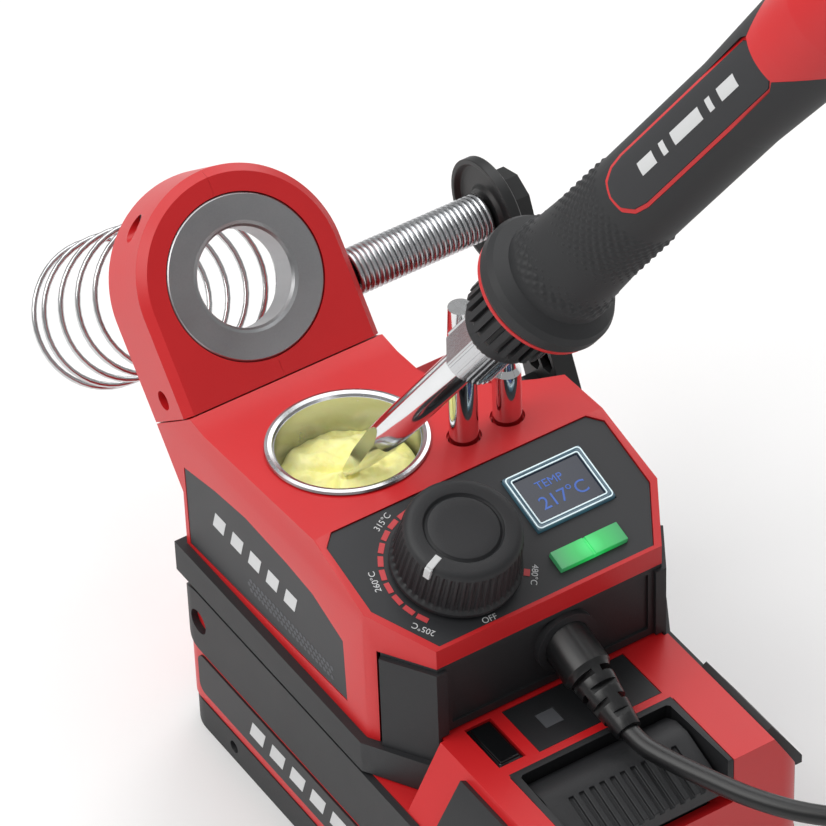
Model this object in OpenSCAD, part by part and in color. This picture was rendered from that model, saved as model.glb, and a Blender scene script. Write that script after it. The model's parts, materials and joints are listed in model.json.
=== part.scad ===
// Cordless soldering station: temperature-controlled iron, spring rest, solder spool and slide-on battery pack.
// Millimetres, +Z up. Origin: centre of the battery pack's flat bottom; -Y is the front, with the dial and the cord.

/* [Station body] */
// Width of the red body, side to side
body_w = 72; // [70:0.5:74]
// Height of the deck where it meets the sloping control panel
deck_z = 90.6; // [89.6:0.2:91.6]
// Slope of the control panel, in degrees
panel_tilt = 16.5; // [15.5:0.5:17.5]
// Wall thickness of the plastic shells
wall = 2.4; // [2:0.1:2.8]

/* [Battery pack] */
// Width of the pack over its side guards
pack_w = 76; // [75:0.5:78]
// Length of the pack, latch end to rear end
pack_l = 128; // [126:1:130]
// Height of the pack's body, without the sliding ridge
pack_h = 42; // [42:0.5:42]

/* [Iron rest] */
// Outer diameter of the steel entry ring
ring_d = 35.6; // [34:0.2:36.4]
// Hole in the entry ring
ring_hole_d = 21.3; // [20:0.1:22.5]
// Mean diameter of the spring's last turns
spring_d = 33; // [30:0.5:34]
// Spring wire diameter
spring_wire = 1.3; // [1.1:0.1:1.5]
// Number of turns in the spring
spring_turns = 10; // [9:1:11]

/* [Dial, cup and tips] */
// Knob diameter at its base
knob_d = 27.4; // [25:0.2:28]
// Knob height above the panel
knob_h = 13; // [11:0.5:14]
// Cleaning cup rim diameter
cup_d = 34.8; // [33:0.2:35.4]
// Spare tip barrel diameter
spare_d = 6.2; // [5.8:0.1:6.4]

/* [Solder spool] */
// Diameter over the wound solder
solder_d = 10.6; // [9.5:0.1:12]
// Solder wire thickness
solder_wire_d = 1.2; // [1:0.1:1.4]
// Diameter of the spool's end disc
disc_d = 25.4; // [22:0.2:26]

/* [Iron] */
// Barrel diameter of the fitted tip
barrel_d = 7.2; // [6.5:0.1:7.4]
// Finger guard diameter
guard_d = 29.6; // [27:0.2:30]
// Grip diameter
grip_d = 20; // [19:0.2:20.6]
// Diameter of the iron's cord
cord_d = 4.2; // [4:0.1:4.4]

/* [Hidden] */
$fn = 64;
half_w = body_w / 2;
guard_z = 24.4;          // lower edge of the pack's side guards
guard_y = 54;            // middle of the guards' round rear ends
front_y = -25;           // front face of the station
rear_y = 60;             // rear wall of the station
base_z = pack_h + 0.3;   // underside of the station, just clear of the pack
band_z = 50.4;           // top of the black base band
rim_z = 76;              // lower edge of the red rim at the front
panel_z = 80.9;          // control panel's surface at the front edge
slot_w = 54.6;           // width of the battery slot
slot_z = 57.4;           // roof of the battery slot
dock_y = -14.5;          // front end of the dock's side walls, behind the corner posts
dock_end = 57.3;         // rear end of the dock
ridge_w = 54;            // width of the pack's sliding ridge
head_w = 56;             // width of the pack's head in front of the station
ridge_z = 57;            // top of the pack's ridge
deck_y = front_y + (deck_z - panel_z) / tan(panel_tilt); // where slope and deck meet
deck_end = [50, 87.6];   // rear end of the deck, just before the rest's neck
cup_lean = atan((deck_z - deck_end[1]) / (deck_end[0] - deck_y)); // the deck's fall to the rear
seat = [56, 88.4];       // front lower edge of the iron rest, (y, z)
rest_lean = 51.5;        // lean of the iron rest's face
rest_x = -12;            // middle of the iron rest, cup and dial
rest_r = 24;             // outer radius of the iron rest's arch
rest_t = 17.5;           // thickness of the iron rest
ring_up = 22.3;          // ring centre above the seat, along the face
dial = [-12.5, 16.2];    // knob centre on the panel, (x, up the slope)
cup_at = [-13, 30];
spare_at = [[7.5, 17.5], [18.2, 17.5]];
pack_y0 = -pack_l / 2;
pack_y1 = pack_l / 2;
spool_y = 71.4;          // spool axle, across the station
spool_z = 93.2;
spool_x0 = 12.2;         // left end of the axle, on the rest's right side
spool_x1 = 48.4;         // right end of the winding
iron_tip_at = [-14.9, 28.6, 82.6];
iron_polar = 35.1;       // the iron leans this far from upright
iron_turn = -56.6;       // direction the iron leans towards
label_turn = -121.8;     // badge side of the grip, about the iron's own axis
gland_at = [3.4, front_y, 67.6];
gland_dip = 18;          // strain relief points this far below level
gland_l = 24;

// Cord routes: from the strain relief to the coil, and from the coil up to the iron's tail.
lead_route = [[3.4, -47.4, 60.2], [4, -53, 59.5], [6.2, -60, 59.4], [9.2, -67.5, 59.4], [13, -76, 59.4],
    [18.5, -85, 59.6], [26, -93.5, 60], [35, -100.5, 58.6], [44.5, -105.5, 52], [53, -108.6, 40],
    [60.5, -110.2, 27], [68, -110.4, 15], [77, -109.2, 6.4], [88, -107, 2.8], [100, -104.8, 2.2], [112, -103.3, 2.2]];
tail_route = [[57, -80.4, 268.3], [61.1, -86.6, 279], [66.4, -94.6, 287.4], [73, -103.6, 290.6],
    [79.6, -111.6, 286.5], [84.6, -116.8, 273], [87.6, -119.4, 250], [89.4, -120.4, 216], [90.8, -120.2, 180],
    [92.2, -118.8, 142], [93.4, -116.4, 104], [94.3, -113.4, 72], [94.9, -110, 48], [95.2, -105.6, 31],
    [95.3, -98, 20.6], [95.2, -88.5, 16.2], [95, -79, 15.4]];
coil_at = [118, -78];
coil_d = 46;             // middle of the turns
coil_wide = 9.2;         // width of the bundle
coil_high = 13.2;        // height of the bundle

// A plate with rounded vertical corners, standing on z = 0.
module rounded_plate(w, l, h, r) {
    translate([-w / 2 + r, -l / 2, 0]) cube([w - 2 * r, l, h]);
    translate([-w / 2, -l / 2 + r, 0]) cube([w, l - 2 * r, h]);
    for (x = [-1, 1], y = [-1, 1])
        translate([x * (w / 2 - r), y * (l / 2 - r), 0]) cylinder(r = r, h = h);
}

// A side outline in (y, z), given thickness across X.
module across(x0, x1, outline) {
    translate([x0, 0, 0]) rotate([90, 0, 90]) linear_extrude(x1 - x0) polygon(outline);
}

// Frame of the control panel: x across, y up the slope from the front edge, z out of the surface.
module on_panel() {
    translate([0, front_y, panel_z]) rotate([panel_tilt, 0, 0]) children();
}

// Frame of the iron rest: x across, y up the leaning face, z out of the face.
module on_rest() {
    translate([rest_x, seat[0], seat[1]]) rotate([rest_lean, 0, 0]) children();
}

// Frame of the iron: z from the working point up its axis to the tail.
module on_iron() {
    translate(iron_tip_at) rotate([0, iron_polar, iron_turn]) children();
}

// Frame of the cleaning cup: z = 0 on the gently falling deck.
module on_cup() {
    translate([cup_at[0], cup_at[1], deck_z - (cup_at[1] - deck_y) * tan(cup_lean)]) rotate([-cup_lean, 0, 0]) children();
}

module disc_ring(r_out, r_in, h) {
    difference() {
        cylinder(r = r_out, h = h);
        translate([0, 0, -1]) cylinder(r = r_in, h = h + 2);
    }
}

function unit(v) = v / norm(v);
function catmull(a, b, c, d, t) =
    0.5 * (2 * b + (c - a) * t + (2 * a - 5 * b + 4 * c - d) * t * t + (3 * b - a - 3 * c + d) * t * t * t);
function smooth_route(p, n) = let (m = len(p) - 1) [
    for (i = [0 : m - 1], k = [0 : n - 1])
        catmull(p[max(i - 1, 0)], p[i], p[i + 1], p[min(i + 2, m)], k / n),
    p[m]];

// Round tube along a list of points, as one polyhedron.
module tube(route, r, sides, up = [0, 0, 1]) {
    count = len(route);
    dir = [for (i = [0 : count - 1]) unit(route[min(i + 1, count - 1)] - route[max(i - 1, 0)])];
    side = [for (d = dir) unit(cross(d, up))];
    polyhedron(
        points = [for (i = [0 : count - 1], k = [0 : sides - 1])
            route[i] + r * (cos(360 * k / sides) * side[i] + sin(360 * k / sides) * cross(dir[i], side[i]))],
        faces = concat(
            [[for (k = [sides - 1 : -1 : 0]) k]],
            [for (i = [0 : count - 2], k = [0 : sides - 1])
                [i * sides + k, i * sides + (k + 1) % sides, (i + 1) * sides + (k + 1) % sides, (i + 1) * sides + k]],
            [[for (k = [0 : sides - 1]) (count - 1) * sides + k]]));
}

// ---- Battery pack ----

module pack_tray() color("#26272a") difference() {
    rounded_plate(pack_w - 1, pack_l, 8, 9);
    translate([0, 0, 2.4]) rounded_plate(pack_w - 6, pack_l - 6, 8, 6);
    for (x = [-29, 29], y = [pack_y0 + 12, pack_y1 - 12])
        translate([x, y, -1]) cylinder(d = 3.4, h = 5);
    // small round pits in the sides
    for (s = [-1, 1]) translate([s * (pack_w / 2 - 0.5), 43, 4]) rotate([0, 90, 0])
        cylinder(d = 3, h = 2.4, center = true);
}

// Ridge outline in front of the station, sloping down to the guards.
function head_outline() = [[-half_head(), 8], [half_head(), 8], [half_head(), pack_h], [head_w / 2, ridge_z],
    [-head_w / 2, ridge_z], [-half_head(), pack_h]];
function half_head() = pack_w / 2 - 1.6;

module pack_case() color("#c4161c") difference() {
    union() {
        difference() {
            union() {
                translate([0, 0, 8]) rounded_plate(pack_w - 3.2, pack_l, pack_h - 8, 6.4);
                translate([0, 0, 8]) rounded_plate(pack_w - 1.6, pack_l - 0.4, guard_z - 8.04, 7.2);
            }
            translate([0, 0, 7]) rounded_plate(pack_w - 8, pack_l - 5, 33.4, 6);
        }
        // exposed head in front of the station
        intersection() {
            difference() {
                translate([0, front_y - 1.4, 0]) rotate([90, 0, 0])
                    linear_extrude(pack_y1 + front_y - 1.4) polygon(head_outline());
                translate([0, 0, 7]) rounded_plate(pack_w - 8, pack_l - 5, 33.4, 6);
            }
            translate([0, 0, 8]) rounded_plate(pack_w - 3.2, pack_l, 60, 6.4);
        }
        // ridge that slides into the station
        translate([-ridge_w / 2, front_y - 1.6, pack_h - 1]) cube([ridge_w, 81.6, ridge_z - pack_h + 1]);
    }
    // grooves under the ridge's edges
    for (s = [-1, 1])
        translate([s * ridge_w / 2 - 2.4, front_y - 0.6, 44.6]) cube([4.8, 83, 5.4]);
    // hollow of the ridge
    translate([-22, front_y + 4, 39]) cube([44, 74, 15]);
    // latch recess, open to the front
    translate([-22, pack_y0 - 1, 44.9]) cube([40, 22.4, 14]);
    translate([-18, pack_y0 + 2.5, 39]) cube([32, 16, 12]);
    // button well and window recess
    translate([-22.2, -39.2, 51]) cube([6.4, 13, 8]);
    translate([-13, -40, 56]) cube([30, 14, 2]);
    translate([-10, -38, 50]) cube([20, 10, 8]);
    // contact slits at the ridge's rear end
    for (x = [-15, -5, 5, 15]) translate([x - 0.8, 36, 48]) cube([1.6, 22, 10]);
}

// Side guards: their rear ends are round and follow the case's corners.
module guard_band(s) intersection() {
    union() {
        translate([s > 0 ? 26 : -pack_w / 2 - 1, guard_y - 53, guard_z]) cube([pack_w / 2 - 25, 53, 41.6 - guard_z]);
        translate([s > 0 ? 26 : -pack_w / 2 - 1, pack_y0 + 6, guard_z]) cube([pack_w / 2 - 25, 60, 41.6 - guard_z]);
        translate([s * 32.5, guard_y, guard_z + 8.6]) rotate([0, 90, 0]) cylinder(r = 8.6, h = 13, center = true);
    }
    difference() {
        translate([0, 0, guard_z - 1]) rounded_plate(pack_w, pack_l, 20, 8);
        translate([0, 0, guard_z - 2]) rounded_plate(pack_w - 3.16, pack_l, 22, 6.42);
    }
}

module pack_guards() color("#2a2b2e") for (s = [-1, 1]) difference() {
    union() {
        guard_band(s);
        // wedge over the shoulder beside the latch
        translate([0, -37, 0]) rotate([90, 0, 0]) linear_extrude(pack_y1 - 37 - 4)
            polygon([[s * pack_w / 2, 41.58], [s * pack_w / 2, 43.6], [s * 30.2, 56.2], [s * 28.9, 55.46],
                [s * half_head(), pack_h + 0.02], [s * half_head(), 41.58]]);
    }
    translate([s * pack_w / 2, guard_y, guard_z + 8.6]) rotate([0, 90, 0]) cylinder(d = 6, h = 8, center = true);
}

module pack_side_plates() color("#3a3b3e") for (s = [-1, 1])
    translate([s > 0 ? pack_w / 2 - 0.78 : -pack_w / 2 + 0.3, 2, 16.9]) rotate([90, 0, 90])
        rounded_plate(108, 11, 0.48, 2.4);

module pack_cells() color("#3f7f9c") for (i = [0 : 4], k = [0, 1])
    translate([-32.5, -38 + i * 19, 12.3 + k * 18.6]) rotate([0, 90, 0]) cylinder(d = 18.3, h = 65);

module pack_board() color("#2c6b3f") translate([-20, -18, 46]) difference() {
    cube([40, 50, 1.6]);
    for (x = [3, 37], y = [3, 47]) translate([x, y, -1]) cylinder(d = 2.6, h = 4);
}

module pack_contacts() color("#c9a24a") for (x = [-15, -5, 5, 15])
    translate([x - 0.4, 26, 47.62]) union() {
        cube([0.8, 11.4, 1.2]);
        translate([0, 10.4, 0]) cube([0.8, 1, 6]);
    }

module pack_screws() color("#8a8c90") for (x = [-29, 29], y = [pack_y0 + 12, pack_y1 - 12])
    translate([x, y, 0.4]) union() {
        cylinder(d = 3.3, h = 1.6);
        cylinder(d = 2, h = 7);
    }

module pack_latch() color("#1d1e20") union() {
    translate([-17.6, pack_y0 + 3, 44]) cube([31.2, 14, 4]);
    difference() {
        across(-19.6, 15.6, [[pack_y0 + 0.8, 47.6], [-43.4, 47.6], [-43.4, 53.6], [-47, 55.6], [-51, 55.9],
            [pack_y0 + 0.8, 51.4]]);
        for (i = [0 : 10])
            translate([-14.6 + i * 2.5, pack_y0, 50.3]) rotate([20.2, 0, 0]) cube([1.2, 12.4, 4]);
    }
}

module level_button() color("#141516") union() {
    translate([-21.9, -38.9, 52.4]) cube([5.8, 12.4, 4.2]);
    translate([-21.3, -38.3, 56.6]) cube([4.6, 11.2, 0.6]);
}

module level_window() color("#202124") difference() {
    translate([-12.9, -39.9, 56.02]) cube([29.8, 13.8, 0.9]);
    translate([-8, -35, 56.6]) cube([4.4, 4.4, 1]);
}

// ---- Station ----

// Plan of the base band: it swells round the front corners.
function band_plan() = [[-half_w - 2, rear_y + 2], [-half_w - 2, -11.6], [-29.4, front_y - 1.1], [-24.6, front_y - 1.1],
    [-24, front_y], [24, front_y], [24.6, front_y - 1.1], [29.4, front_y - 1.1], [half_w + 2, -11.6],
    [half_w + 2, rear_y + 2]];

module spare_holes(d, z0, h) for (p = spare_at) translate([p[0], p[1], z0]) cylinder(d = d, h = h);

// Where the deck stops behind the spare tips: plan of the lower rear corner.
module rear_step(z0, h) translate([0, 0, z0]) linear_extrude(h)
    polygon([[12, 80], [12, 42], [13.4, 36.6], [16.6, 32], [22, 28.4], [30, 24], [half_w + 5, 19.4], [half_w + 5, 80]]);

module lower_housing() color("#232427") difference() {
    union() {
        translate([0, 0, base_z]) linear_extrude(band_z - base_z) polygon(band_plan());
        // dock walls and roof
        translate([-slot_w / 2 - wall, dock_y, band_z - 1])
            cube([slot_w + 2 * wall, dock_end - dock_y, slot_z + 3.4 - band_z]);
        // front wall under the rim, with corner posts
        difference() {
            translate([0, 0, base_z]) linear_extrude(rim_z - base_z)
                polygon([[-33.2, -13], [-34, -14.4], [-27.4, front_y], [27.4, front_y], [34, -14.4], [33.2, -13],
                    [31, -12], [26, -21.4], [-26, -21.4], [-31, -12]]);
            // shadow gap between the posts
            translate([-24, front_y - 1, slot_z + 2]) cube([48, 1.6, rim_z - slot_z - 3.4]);
        }
        // corner posts, a little proud of the shell
        for (s = [-1, 1]) translate([0, 0, base_z]) linear_extrude(rim_z - 1 - base_z)
            polygon([[s * 33.2, -13.6], [s * 34.8, -14.9], [s * 28, front_y - 0.8], [s * 25.4, front_y - 0.8],
                [s * 25.4, front_y + 2], [s * 31, -14]]);
        // boss around the cord's gland
        translate(gland_at) rotate([90, 0, 0]) translate([0, 0, -3]) cylinder(r = 7.2, h = 4.2);
        // screw pillars
        for (x = [-30.3, 30.3], y = [2, 52]) translate([x, y, base_z]) cylinder(r = 3, h = 21);
        // posts under the shell
        for (x = [-22, 24], y = [-8, 34]) translate([x, y, slot_z]) cylinder(r = 2.4, h = 4.4);
    }
    // battery slot, open at the front
    translate([-slot_w / 2, front_y - 5, base_z - 1])
        cube([slot_w, dock_end - 1.9 - front_y + 5, slot_z - base_z + 1]);
    for (x = [-30.3, 30.3], y = [2, 52]) translate([x, y, base_z - 1]) cylinder(d = 2.7, h = 30);
    // cord passage
    translate(gland_at) rotate([90 + gland_dip, 0, 0]) translate([0, 0, -12]) cylinder(r = 5.45, h = 24);
    // fixed contact slots through the roof
    for (x = [-15, -5, 5, 15]) translate([x - 0.6, 37.6, slot_z - 1]) cube([1.2, 6.8, 6]);
}

// Lips inside the slot that hold the ridge's grooves.
module slot_lips() for (s = [-1, 1], y = [front_y + 1, 6])
    translate([s * (slot_w / 2 + 0.2) - 2.1, y, 45.2]) cube([4.2, y < 0 ? 22 : 42, 4.2]);

module lower_body() color("#232427") union() {
    lower_housing();
    slot_lips();
}

// Outside of the red shell, or, with w, the room inside a wall that thick.
module shell_block(w) intersection() {
    across(-half_w + w, half_w - w, [[front_y + w, band_z + (w > 0 ? -1 : 0.02)], [front_y + w, panel_z - w * 1.1],
        [deck_y + w * 0.2, deck_z - w * 1.05], [deck_end[0], deck_end[1] - w * 1.05],
        [seat[0] - 0.2 - w * 0.4, seat[1] - 0.25 - w * 1.2], [69.5 - w, 77.24 - w * 1.2], [rear_y - w, 65],
        [rear_y - w, band_z + (w > 0 ? -1 : 0.02)]]);
    translate([0, 0, band_z - 2]) linear_extrude(60) polygon([[-half_w + w, 90], [-half_w + w, -11 + w / 2],
        [-27.4 + w / 2, front_y + w], [27.4 - w / 2, front_y + w], [half_w - w, -11 + w / 2], [half_w - w, 90]]);
    // slight inward lean of the upper sides
    translate([0, 90, 0]) rotate([90, 0, 0]) linear_extrude(150)
        polygon([[-half_w + w, 40], [half_w - w, 40], [half_w - w, 82], [half_w - 1.2 - w, 96], [-half_w + 1.2 + w, 96],
            [-half_w + w, 82]]);
}

module upper_housing() color("#c8171d") difference() {
    shell_block(0);
    difference() {
        shell_block(wall);
        // walls that close the step behind the spare tips
        difference() {
            rear_step(65.6, 40);
            translate([wall, wall * 0.9, 0]) rear_step(50, 60);
        }
    }
    // the step: the right rear corner lies lower than the deck
    rear_step(68, 40);
    // room for the black front wall and its posts
    translate([0, 0, band_z - 2]) linear_extrude(rim_z - band_z + 2)
        polygon([[-33.4, -12.4], [-35.2, -14.4], [-29.4, front_y - 2], [29.4, front_y - 2], [35.2, -14.4],
            [33.4, -12.4], [30, -8], [-30, -8]]);
    // recess of the control panel
    on_panel() translate([0, 0, -1]) linear_extrude(4) polygon(panel_outline(0.15));
    on_panel() translate([0, 0, -6]) linear_extrude(8) polygon(panel_outline(-3));
    // cup and spare tip holes
    on_cup() translate([0, 0, -20]) cylinder(r = cup_d / 2 - 1.4, h = 40);
    spare_holes(7.4, 80, 20);
    // seats for the side plates
    for (s = [-1, 1]) across(s > 0 ? half_w - 0.8 : -half_w - 1, s > 0 ? half_w + 1 : -half_w + 0.8,
        side_plate_outline(0.15));
}

module step_floor() color("#c8171d") intersection() {
    shell_block(1);
    translate([0, 0, 65.6]) linear_extrude(2.4)
        polygon([[10, 70], [10, 42], [11.4, 36], [15, 30.4], [21, 26.6], [30, 22], [half_w, 17.6], [half_w, 70]]);
}

module upper_body() color("#c8171d") union() {
    upper_housing();
    step_floor();
    // sockets under the deck that hold the spare tips
    difference() {
        spare_holes(10.4, 66, 22.6);
        spare_holes(spare_d + 0.5, 68, 30);
    }
}

function side_plate_outline(g) = [[-3.6 - g, 55 - g], [58.4 + g, 51.4 - g], [58.8 + g, 72.6 + g], [46, 75.4 + g],
    [34, 77 + g], [18, 76.6 + g], [8, 75.6 + g], [-3 - g, 71.2 + g]];

module side_plates() color("#3c3e41") for (s = [-1, 1])
    across(s > 0 ? half_w - 0.78 : -half_w + 0.1, s > 0 ? half_w - 0.1 : -half_w + 0.78, side_plate_outline(0));

module dock_contacts() color("#c9a24a") for (x = [-15, -5, 5, 15])
    translate([x - 0.4, 38, 50]) union() {
        cube([0.8, 6, 11]);
        translate([-1.2, 0, 11]) cube([3.2, 6, 0.8]);
    }

module station_screws() color("#8a8c90") for (x = [-30.3, 30.3], y = [2, 52])
    translate([x, y, base_z + 0.4]) cylinder(d = 2.6, h = 20);

// Eight-sided control panel, grown by g.
function panel_outline(g) = [[-26 - g * 0.5, 1 - g], [26 + g * 0.5, 1 - g], [33.8 + g, 14.2 - g * 0.5],
    [33.8 + g, 31.2 + g * 0.5], [31 + g * 0.5, 34 + g], [-31 - g * 0.5, 34 + g], [-33.8 - g, 31.2 + g * 0.5],
    [-33.8 - g, 14.2 - g * 0.5]];

module control_panel() color("#2b2c2f") on_panel() difference() {
    translate([0, 0, -0.98]) linear_extrude(0.6) polygon(panel_outline(0));
    translate([dial[0], dial[1], -3]) cylinder(d = 10, h = 6);
    translate([6.5, 14.3, -3]) cube([19.3, 14.4, 6]);
    translate([5.5, 4.2, -3]) cube([16.5, 4.8, 6]);
}

// Raised scale segments round the dial, with the end mark.
module panel_marks() color("#d8454a") on_panel() translate([dial[0], dial[1], -0.38]) union() {
    for (i = [0 : 9]) rotate([0, 0, 102 + i * 12.2]) translate([14.6, -1.25, 0]) cube([1.15, 2.5, 0.12]);
    rotate([0, 0, -36]) translate([14, -0.8, 0]) cube([1.3, 1.6, 0.12]);
}

module control_board() color("#2c6b3f") on_panel() difference() {
    translate([-27, 8, -8.6]) cube([54, 23, 1.6]);
    translate([dial[0], dial[1], -9]) cylinder(d = 10.4, h = 4);
}

module potentiometer() color("#77797c") on_panel() translate([dial[0], dial[1], 0]) union() {
    translate([0, 0, -8.8]) disc_ring(4.2, 3.06, 6.8);
    difference() {
        translate([0, 0, -15]) cylinder(d = 17, h = 6.3);
        translate([0, 0, -13]) cylinder(d = 6.12, h = 7);
    }
}

module dial_knob() color("#1b1c1e") on_panel() translate([dial[0], dial[1], 0]) union() {
    difference() {
        rotate_extrude() polygon([[0, 0.3], [knob_d / 2, 0.3], [knob_d / 2, 1.6], [knob_d / 2 - 0.35, 2],
            [knob_d / 2 - 1.3, knob_h - 1.2], [knob_d / 2 - 2.4, knob_h], [7.9, knob_h], [7.3, knob_h - 0.7],
            [6.9, knob_h - 0.7], [6.3, knob_h], [0, knob_h]]);
        // finger ribs round the skirt
        for (i = [0 : 47]) rotate([0, 0, i * 7.5]) translate([knob_d / 2 - 0.15, 0, 2.2]) rotate([0, -5, 0])
            translate([0, -0.4, 0]) cube([1.6, 0.8, knob_h - 4]);
        // pointer groove
        rotate([0, 0, 203]) translate([8.2, -0.65, knob_h - 0.5]) cube([4.6, 1.3, 1]);
        // hollow underside
        translate([0, 0, -0.1]) disc_ring(knob_d / 2 - 2, 4.2, knob_h - 3.4);
    }
    translate([0, 0, -12]) cylinder(d = 6, h = 14);
}

module display_frame() color("#9aa0a6") on_panel() difference() {
    translate([6.6, 14.4, -2.4]) cube([19.1, 14.2, 2.9]);
    translate([7.9, 15.7, -3]) cube([16.5, 11.6, 4]);
}

module display_glass() color("#1c2b45") on_panel() translate([7.92, 15.72, -2]) cube([16.46, 11.56, 2]);

module status_lens() color("#2fd45e") on_panel() translate([5.6, 4.3, -2.4]) difference() {
    cube([16.3, 4.6, 3.2]);
    translate([7.9, -1, 2.9]) cube([0.5, 7, 1]);
}

module cleaning_cup() color("#b9bcc0") on_cup() difference() {
    union() {
        translate([0, 0, -26]) cylinder(r = cup_d / 2 - 1.6, h = 26.2);
        rotate_extrude() polygon([[cup_d / 2 - 3, 0.04], [cup_d / 2 - 0.3, 0.04], [cup_d / 2, 0.4],
            [cup_d / 2 - 0.2, 0.9], [cup_d / 2 - 0.9, 1.1], [cup_d / 2 - 1.7, 0.8], [cup_d / 2 - 2, 0.2]]);
    }
    translate([0, 0, -25.2]) cylinder(r = cup_d / 2 - 2.2, h = 30);
}

module cleaning_sponge() color("#e8d94a") difference() {
    on_cup() rotate_extrude() polygon([[0, -25.1], [14.6, -25.1], [14.6, -13], [13.4, -9.6], [10, -7.8], [5, -6.9],
        [0, -6.6]]);
    // dent worn by the iron's tip
    on_iron() translate([0, 0, -0.6]) cylinder(r1 = 1.6, r2 = 4, h = 9);
}

module spare_tip_chisel() color("#c9ccd0") translate([spare_at[0][0], spare_at[0][1], 68.1]) union() {
    difference() {
        union() {
            cylinder(d = spare_d, h = 44);
            translate([0, 0, 44]) cylinder(d1 = spare_d, d2 = spare_d - 1, h = 12.6);
        }
        for (s = [-1, 1]) translate([0, s * 2.9, 58]) rotate([s * 8, 0, 0]) translate([-5, s > 0 ? 0 : -4, -16])
            cube([10, 4, 22]);
    }
}

module spare_tip_bevel() color("#c9ccd0") translate([spare_at[1][0], spare_at[1][1], 68.1]) union() {
    cylinder(d = spare_d, h = 34.4);
    translate([0, 0, 34.4]) cylinder(d1 = spare_d, d2 = spare_d - 1.6, h = 1.4);
    translate([0, 0, 35.8]) cylinder(d = spare_d - 1.6, h = 6);
    difference() {
        translate([0, 0, 41.8]) cylinder(d1 = spare_d - 1.6, d2 = 2, h = 12);
        translate([0, 0, 53.8]) rotate([-40, 0, 0]) translate([-5, -5, 0]) cube(10);
    }
}

// ---- Iron rest ----

// Arch block of the rest with bevelled front edge, whole width.
module rest_block() union() {
    difference() {
        union() {
            translate([0, ring_up, -rest_t]) cylinder(r = rest_r, h = rest_t - 1.8);
            translate([0, ring_up, -1.82]) cylinder(r1 = rest_r, r2 = rest_r - 1.8, h = 1.82);
            translate([-rest_r, 0, -rest_t]) cube([2 * rest_r, ring_up, rest_t - 1.8]);
            // bevel along the straight sides
            translate([0, ring_up, 0]) rotate([90, 0, 0]) linear_extrude(ring_up) polygon([[-rest_r, -1.82],
                [-rest_r + 1.8, 0], [rest_r - 1.8, 0], [rest_r, -1.82]]);
        }
        // seat of the ring and the throat behind it
        translate([0, ring_up, -2.1]) cylinder(d = ring_d + 0.3, h = 5);
        translate([0, ring_up, -rest_t - 1]) cylinder(d = spring_d - 2.4, h = 30);
        // flat seat on the station's neck
        translate([-30, -10, -30]) cube([60, 10, 40]);
    }
}

module side_screw_holes(d, h) {
    translate([-rest_r - 1, 4.5, -8.75]) rotate([0, 90, 0]) cylinder(d = d, h = h);
    translate([-rest_r - 1, 40, -8.75]) rotate([0, 90, 0]) cylinder(d = d, h = h + 8);
}

module rest_left_shell() color("#c8171d") on_rest() difference() {
    rest_block();
    translate([-0.02, -2, -30]) cube([60, 60, 60]);
    side_screw_holes(4.4, 5.3);
    side_screw_holes(2.4, 26);
}

module rest_right_shell() color("#c8171d") on_rest() difference() {
    rest_block();
    translate([-59.98, -2, -30]) cube([60, 60, 60]);
    translate([-1, 4.5, -8.75]) rotate([0, 90, 0]) cylinder(d = 2.4, h = 9);
    translate([-1, 40, -8.75]) rotate([0, 90, 0]) cylinder(d = 2.4, h = 9);
    // seat of the spool axle
    translate([rest_r - 5, spool_up(), spool_out()]) rotate([0, 90, 0]) cylinder(d = 4.02, h = 10);
}

// The spool axle in the rest's own frame.
function spool_up() = (spool_y - seat[0]) * cos(rest_lean) + (spool_z - seat[1]) * sin(rest_lean);
function spool_out() = -(spool_y - seat[0]) * sin(rest_lean) + (spool_z - seat[1]) * cos(rest_lean);

module rest_ring() color("#9b9da0") on_rest() translate([0, ring_up, 0]) rotate_extrude()
    polygon([[ring_hole_d / 2, -0.9], [ring_hole_d / 2 + 0.5, -0.2], [ring_hole_d / 2 + 1.2, 0.1],
        [ring_d / 2 - 0.4, 0.1], [ring_d / 2, -0.3], [ring_d / 2, -2.08], [ring_hole_d / 2 + 1.6, -2.08],
        [ring_hole_d / 2 + 1.2, -9], [ring_hole_d / 2, -9]]);

// Spring: close turns behind the ring, then wide open ones that sag a little, the last one closed.
function clamp01(v) = min(1, max(0, v));
function spring_r(t) = ring_hole_d / 2 + 2.4 + (spring_d / 2 - ring_hole_d / 2 - 2.4) * clamp01((t - 2.5) / 0.8);
function spring_z(t) = -3.2 - 5.2 * min(t, 2.6) - 11.2 * max(0, min(t, spring_turns - 1) - 2.6)
    - 1.6 * max(0, t - spring_turns + 1);
module rest_spring() color("#c8ccd0") on_rest() translate([0, ring_up, 0])
    tube([for (i = [0 : spring_turns * 20]) let (t = i / 20) [spring_r(t) * cos(360 * t),
        spring_r(t) * sin(360 * t) - 3.4 * pow(spring_z(t) / 88, 2), spring_z(t)]], spring_wire / 2, 8);

module rest_screws() color("#6d6f73") on_rest() union() {
    translate([-rest_r + 2.6, 4.5, -8.75]) rotate([0, 90, 0]) union() {
        cylinder(d = 4.3, h = 1.6);
        cylinder(d = 2.3, h = 28);
    }
    translate([-rest_r + 10.6, 40, -8.75]) rotate([0, 90, 0]) union() {
        cylinder(d = 4.3, h = 1.6);
        cylinder(d = 2.3, h = 20);
    }
}

// ---- Solder spool ----

module at_axle(x) translate([x, spool_y, spool_z]) rotate([0, 90, 0]) children();

module spool_axle() color("#1d1e20") at_axle(spool_x0 - 4.2) cylinder(d = 4, h = spool_x1 + 9 - spool_x0);

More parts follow.
